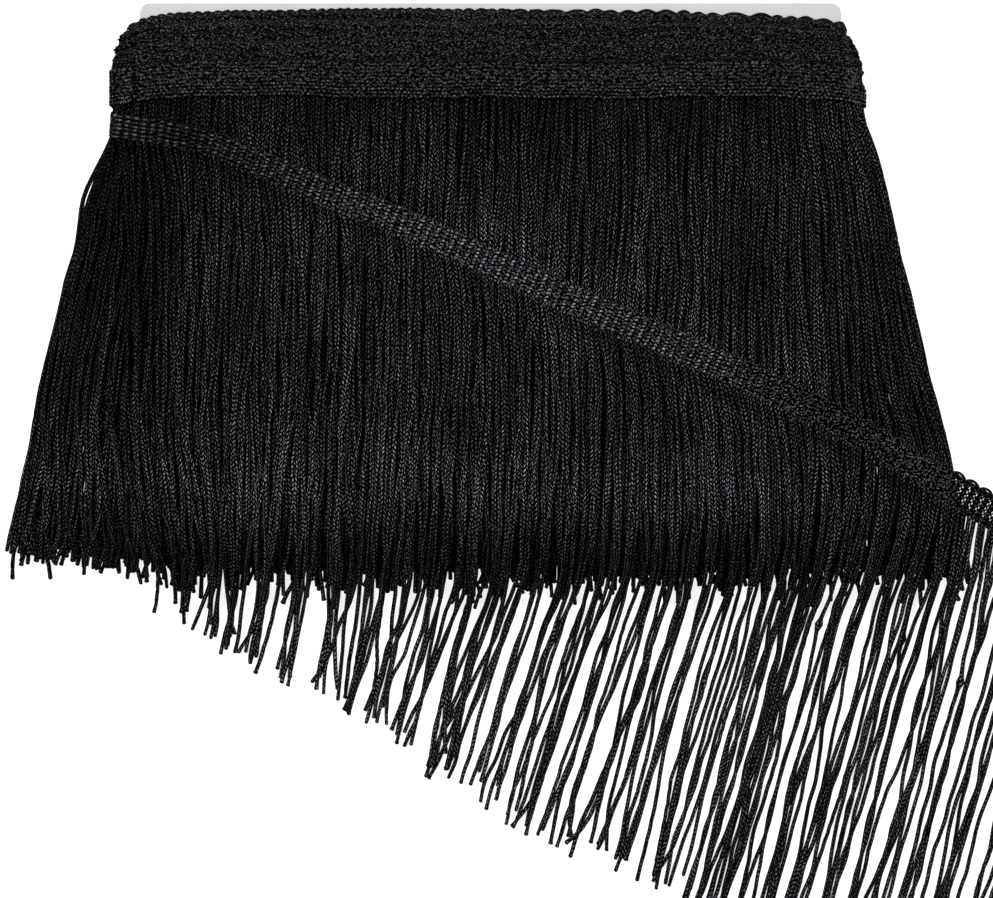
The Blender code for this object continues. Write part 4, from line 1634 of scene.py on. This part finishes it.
def add_columns(stitches, strip, where, repeats, rng):
    """The openwork's columns of stitches: posts with a strong painted highlight, and messier ones
    between them with a weaker one.
    """
    for share, half_length, half_width, slant, bright, dull, mess in LOOSE_STITCHES:
        at_middle = where(np.arange(repeats) + share)
        width = strip.width(at_middle)
        way = at_middle - strip.start
        pitch = row_pitch(way)
        pulled = 1 - ease(way, *DRAWN_OUT)
        opened = ease(way, *OPEN)
        slack = ease(way, *SLACK)
        jog = rng.uniform(-COLUMN_JOG, COLUMN_JOG, repeats) * pitch
        off = STITCH_OFF * mess + STITCH_OFF_SLACK * slack
        for row in range(LOOSE_ROWS):
            side = -width / 2 + LOOSE_EDGE + (row + 0.5 * (mess > 1)) * pitch + jog
            fits = side < width / 2 - LOOSE_EDGE
            fits = fits & (rng.random(repeats) > opened * (mess > MESSY) * OPEN_LOST)
            at = (at_middle + rng.uniform(-1, 1, repeats) * off)[fits]
            size = len(at)
            beyond = (side + rng.uniform(-1, 1, repeats) * off)[fits]
            lift = np.full(size, LOOSE_THICKNESS / 2 + STITCH_LIFT)
            spot = strip.place(at, np.zeros(size), lift, beyond)
            drawn = pulled[fits]
            loose = slack[fits]
            lean = slant + rng.normal(0, STITCH_LEAN * (0.5 + mess), size) * (1 + loose)
            lean = lean * (1 - DRAWN_STRAIGHTER * drawn)
            run = slanted(strip.read(strip.along, at), strip.read(strip.across, at), lean)
            painted_sheen = rng.uniform(0, 1, size) ** COLUMN_DULLER * (bright - dull) + dull
            painted_sheen = painted_sheen + (rng.uniform(*SLACK_SHEEN, size) - painted_sheen) * SLACK_MIXED * loose
            duller = DRAWN_DULLER * drawn * (mess > POST_MOST)
            painted_sheen = painted_sheen * band_sheen(spot[:, 0]) * (1 - duller)
            stitches.add(spot, run, strip.read(strip.out, at),
                         half_length * (1 + DRAWN_LONGER * drawn - SLACK_SHORTER * loose),
                         half_width * (1 - SLACK_FINER * loose), STITCH_HALF, painted_sheen, rng)


def add_fill(stitches, strip, where, repeats, rng):
    """Fine stitches every way, which fill the ground where the loose heading is slack."""
    at = rng.uniform(strip.start + FILL_FROM[0], strip.length - END_MARGIN, FILL_STITCHES)
    way = at - strip.start
    phase = np.mod(np.interp(at, where(np.arange(repeats)), np.arange(repeats)) * 2, 1.0)
    held = rng.random(len(at)) < ease(way, *FILL_FROM)
    held = held & ((np.abs(phase - 0.5) > FILL_CLEAR) | (way < FILL_CLEAR_FROM))
    at = at[held]
    size = len(at)
    share = rng.uniform(*FILL_SHARES, size)
    spot = strip.place(at, share, np.full(size, LOOSE_THICKNESS / 2 + FILL_LIFT))
    run = slanted(strip.read(strip.along, at), strip.read(strip.across, at),
                  rng.uniform(-FILL_SPREAD, FILL_SPREAD, size))
    painted_sheen = rng.uniform(*FILL_SHEEN, size) * band_sheen(spot[:, 0])
    stitches.add(spot, run, strip.read(strip.out, at), *FILL_SIZE, painted_sheen, rng)


def make_loose_selvedge(strip, where, repeats):
    """The yarns that arch along the loose heading's free edge."""
    count = np.linspace(0, repeats, repeats * SELVEDGE_POINTS)
    at = where(count)
    arch = np.abs(np.sin(math.pi * count)) ** SELVEDGE_ROUND
    tame = SELVEDGE_LOW + (1 - SELVEDGE_LOW) * ease(at - strip.start, *SELVEDGE_RISES)
    yarns = np.array([
        strip.place(at, np.full(len(at), 1.0), np.full(len(at), lift), rise * arch * tame - drop)
        for rise, drop, lift in SELVEDGE_YARNS])
    thick = np.ones(yarns.shape[:2])
    thick[:, [0, -1]] = 0.0
    painted_sheen = SELVEDGE_SHEEN * band_sheen(yarns[..., 0])
    return make_cords("loose_heading_selvedge", yarns, thick, turn=0.0, painted_sheen=painted_sheen, sides=5,
                      gauge=YARN_GAUGE)


def make_loose_heading(strip):
    rng = np.random.default_rng(LOOSE_HEADING_SEED)
    where, repeats = repeat_places(strip)
    ground = make_loose_ground(strip, where, repeats)
    stitches = Stitches()
    add_columns(stitches, strip, where, repeats, rng)
    add_fill(stitches, strip, where, repeats, rng)
    beads = stitches.make("loose_heading_stitches", sides=6, rings=3)
    return ground, beads, make_loose_selvedge(strip, where, repeats)


# ---------------------------------------------------------------- loose fringe
def loose_roots(strip, rng):
    """Where the loose cords leave the heading: distances along it, and places."""
    share = (np.arange(LOOSE_CORDS) + 0.5) / LOOSE_CORDS
    first = math.sin(2 * math.pi * LOOSE_CROWDING_AT)
    share = share + LOOSE_CROWDING * (np.sin(2 * math.pi * (share + LOOSE_CROWDING_AT)) - first)
    at = strip.start + share * (strip.length - strip.start)
    at = at + rng.uniform(-LOOSE_ROOT_OFF, LOOSE_ROOT_OFF, LOOSE_CORDS)
    at = np.minimum(at, strip.length - END_MARGIN)
    share = np.full(LOOSE_CORDS, LOOSE_ROOT_SHARE)
    return at, strip.place(at, share, np.full(LOOSE_CORDS, LOOSE_ROOT_LIFT))


def loose_lengths(way, rng):
    longs = LOOSE_LENGTH
    for share, low, high in LOOSE_SHORTER:
        longs = longs * (1 - share * (1 - ease(way, low, high)))
    spread, least, most = LOOSE_UNEVEN
    return longs * (1 + np.clip(rng.normal(0, spread, len(way)), least, most))


def loose_angles(root, at, way, run, t, leans, rng):
    """Direction of each cord at each point, in radians left of straight down."""
    count = len(at)
    number = np.arange(count)[:, None]
    wild = 1 - ease(way, *LOOSE_WILD)
    over, past = (np.interp(way, leans[0], row)[:, None] for row in leans[1:])
    depth = LOOSE_STRAIGHT * run - root[:, 1:2]
    lean = over + (past - over) * ease(depth, *LOOSE_BEYOND)
    lean = lean - LEFT_TURN * hump(depth, *LEFT_TURN_DEPTHS) * (1 - ease(root[:, :1], *LEFT_TURN_X))
    sway = waved(swing(LOOSE_SWING, at[:, None], run), LOOSE_SWAYS, number, run)
    stray = rng.normal(0, 1, count)[:, None] * (LOOSE_STRAY + LOOSE_STRAY_WILD * wild[:, None])
    stray = stray * ease(t, *LOOSE_STRAY_FROM)
    hooked = some(rng, count, LOOSE_HOOKED * (1 + wild), *LOOSE_HOOK)[:, None]
    hooked = hooked * ease(t, *LOOSE_HOOK_FROM)
    curl = -LOOSE_CURL * (1 - t) ** LOOSE_CURL_POWER
    return np.radians(lean + curl + (sway + stray) * ease(t, *LOOSE_SWAY_FROM) + hooked)


def stacked(x, y, level, rng):
    """Raises cords where they cross others that were laid before them, in a random order."""
    count = len(x)
    apart = CROSSING * LOOSE_CORD * CORD_RADIUS
    order = np.argsort(rng.random(count))
    laid = np.zeros(count, bool)
    for cord in order:
        for other in range(max(cord - CROSSING_REACH, 0), min(cord + CROSSING_REACH + 1, count)):
            if not laid[other]:
                continue
            gap = np.hypot(x[cord] - x[other], y[cord] - y[other])
            rise = np.sqrt(np.maximum(apart ** 2 - gap ** 2, 0.0))
            over = np.where(rise > 0, level[other] + rise, 0.0)
            over[:CROSSING_FROM] = 0.0
            level[cord] = np.maximum(level[cord], over)
        level[cord] = np.maximum(smoothed(level[cord], 2), CORD_RADIUS)
        laid[cord] = True
    return level


def loose_cord_paths(strip, leans):
    """Paths of the loose end's cords: down over the package, off its edge and along the surface."""
    rng = np.random.default_rng(LOOSE_SEED)
    at, root = loose_roots(strip, rng)
    way = at - strip.start
    longs = loose_lengths(way, rng)[:, None]
    t = np.linspace(0.0, 1.0, LOOSE_POINTS)
    run = t * longs
    angle = loose_angles(root, at, way, run, t, leans, rng)
    stride = longs / (LOOSE_POINTS - 1)
    zero = np.zeros((len(at), 1))
    x = root[:, :1] - np.hstack([zero, np.cumsum(np.sin(angle) * stride, axis=1)[:, :-1]])
    y = root[:, 1:2] - np.hstack([zero, np.cumsum(np.cos(angle) * stride, axis=1)[:, :-1]])
    side = clumped(LOOSE_CLUMP_SEED, at, run, LOOSE_PACKED, LOOSE_GRIP, LOOSE_CLUMP,
                   LOOSE_STAGE)
    side = waved(side, LOOSE_WAVES, np.arange(len(at))[:, None], run)
    side = side * ease(t, *LOOSE_WAVES_FROM)
    x = x + side * np.cos(angle)
    y = y - side * np.sin(angle)
    level = lying_level(x, y) + CORD_RADIUS
    level[:, 0] = root[:, 2]
    level = smoothed(let_fall(level, float(stride.mean()), LOOSE_FALL), 3)
    level[:, :3] = root[:, 2:3] + np.array([0.0, 0.0, -ROOT_SINK])
    return np.stack([x, y, stacked(x, y, level, rng)], axis=-1), rng


def make_loose_fringe(strip, leans):
    paths, rng = loose_cord_paths(strip, leans)
    count, points = paths.shape[:2]
    bulk = np.full((count, points), LOOSE_CORD)
    bulk[:, :ROOT_POINTS] *= ROOT_BULK
    for x, y in KNOTS:
        away = np.hypot(paths[..., 0] - x, paths[..., 1] - y)
        cord, point = np.unravel_index(np.argmin(away), away.shape)
        bulk[cord, point - 1:point + 2] += KNOT_BULK
    # painted shadow of the loose heading on the cords just below it
    sheen = 1 - ROOT_SHADOW * hump(np.linspace(0.0, LOOSE_LENGTH, points), *ROOT_SHADOW_AT)
    half = count // 2
    pieces = [dress("loose_cords_a", paths[:half], rng, LOOSE_SIDES, sheen, bulk[:half]),
              dress("loose_cords_b", paths[half:], rng, LOOSE_SIDES, sheen, bulk[half:])]
    for piece in pieces:
        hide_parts("loose_fringe")
    return pieces


# ---------------------------------------------------------------- stage
def make_camera():
    data = bpy.data.cameras.new("camera")
    data.lens = LENS
    data.clip_end = FAR
    camera = bpy.data.objects.new("camera", data)
    bpy.context.collection.objects.link(camera)
    away = VIEW_WIDTH * LENS / data.sensor_width + CAMERA_ABOVE
    camera.location = Vector(PLACE.tolist()) + Vector((CAMERA_SIDE, -CAMERA_DOWN, away))
    bpy.context.scene.camera = camera


def make_lamp(name, place, size, power):
    """A square lamp aimed at the middle of the table."""
    data = bpy.data.lights.new(name, "AREA")
    data.shape = "SQUARE"
    data.size = size
    data.energy = power
    lamp = bpy.data.objects.new(name, data)
    bpy.context.collection.objects.link(lamp)
    lamp.location = place
    lamp.rotation_euler = (-Vector(place)).to_track_quat("-Z", "Y").to_euler()


def make_stage():
    """A glowing white table under soft light."""
    finish, _, shader = new_material("white table", 0.9, 0.0)
    shader.inputs["Base Color"].default_value = (FLOOR_GREY, FLOOR_GREY, FLOOR_GREY, 1.0)
    shader.inputs["Emission Color"].default_value = WHITE
    shader.inputs["Emission Strength"].default_value = FLOOR_GLOW
    mesh = bpy.data.meshes.new("floor")
    corners = [(-1, -1), (1, -1), (1, 1), (-1, 1)]
    mesh.from_pydata([(x * FLOOR_HALF, y * FLOOR_HALF, -FLOOR_GAP) for x, y in corners], [],
                     [(0, 1, 2, 3)])
    mesh.materials.append(finish)
    floor = bpy.data.objects.new("floor", mesh)
    bpy.context.collection.objects.link(floor)
    world = bpy.data.worlds.new("studio")
    world.use_nodes = True
    sky = world.node_tree.nodes["Background"]
    sky.inputs[0].default_value = WHITE
    sky.inputs[1].default_value = SKY
    bpy.context.scene.world = world
    for lamp in LAMPS:
        make_lamp(*lamp)
    bpy.context.scene.view_settings.view_transform = "Standard"


# ---------------------------------------------------------------- assembly
make_camera()
make_stage()
WOUND_GROUND = (0.0012, 0.0011, 0.0013)
finishes = {
    "cord": cord_finish(),
    # the stitches' lighter colour is a painted highlight
    "stitch": yarn_finish("black stitches", (0.170, 0.157, 0.176), 0.55, 0.008),
    "ground": yarn_finish("black ground", (0.0006, 0.0005, 0.0007), 0.80, 0.0),
    "wound ground": yarn_finish("black wound ground", WOUND_GROUND, 0.80, 0.0, WOUND_GROUND),
    "board": board_finish(),
}
trees = {"cords": cord_tree(), "stitches": stitch_tree()}

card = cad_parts["card"]
card.data.materials.clear()
card.data.materials.append(finishes["board"])

make_wound_heading()
make_wound_fringe()

face_points, face_width, over_lean, past_lean, face_at = loose_line()
wrap_points, wrap_width = turn_in(face_points[0], face_width[0])
strip = Strip(np.vstack([wrap_points, face_points]), np.concatenate([wrap_width, face_width]),
              len(wrap_points))
loose_parts = make_loose_heading(strip)
loose_cords = make_loose_fringe(strip, (face_at, over_lean, past_lean))
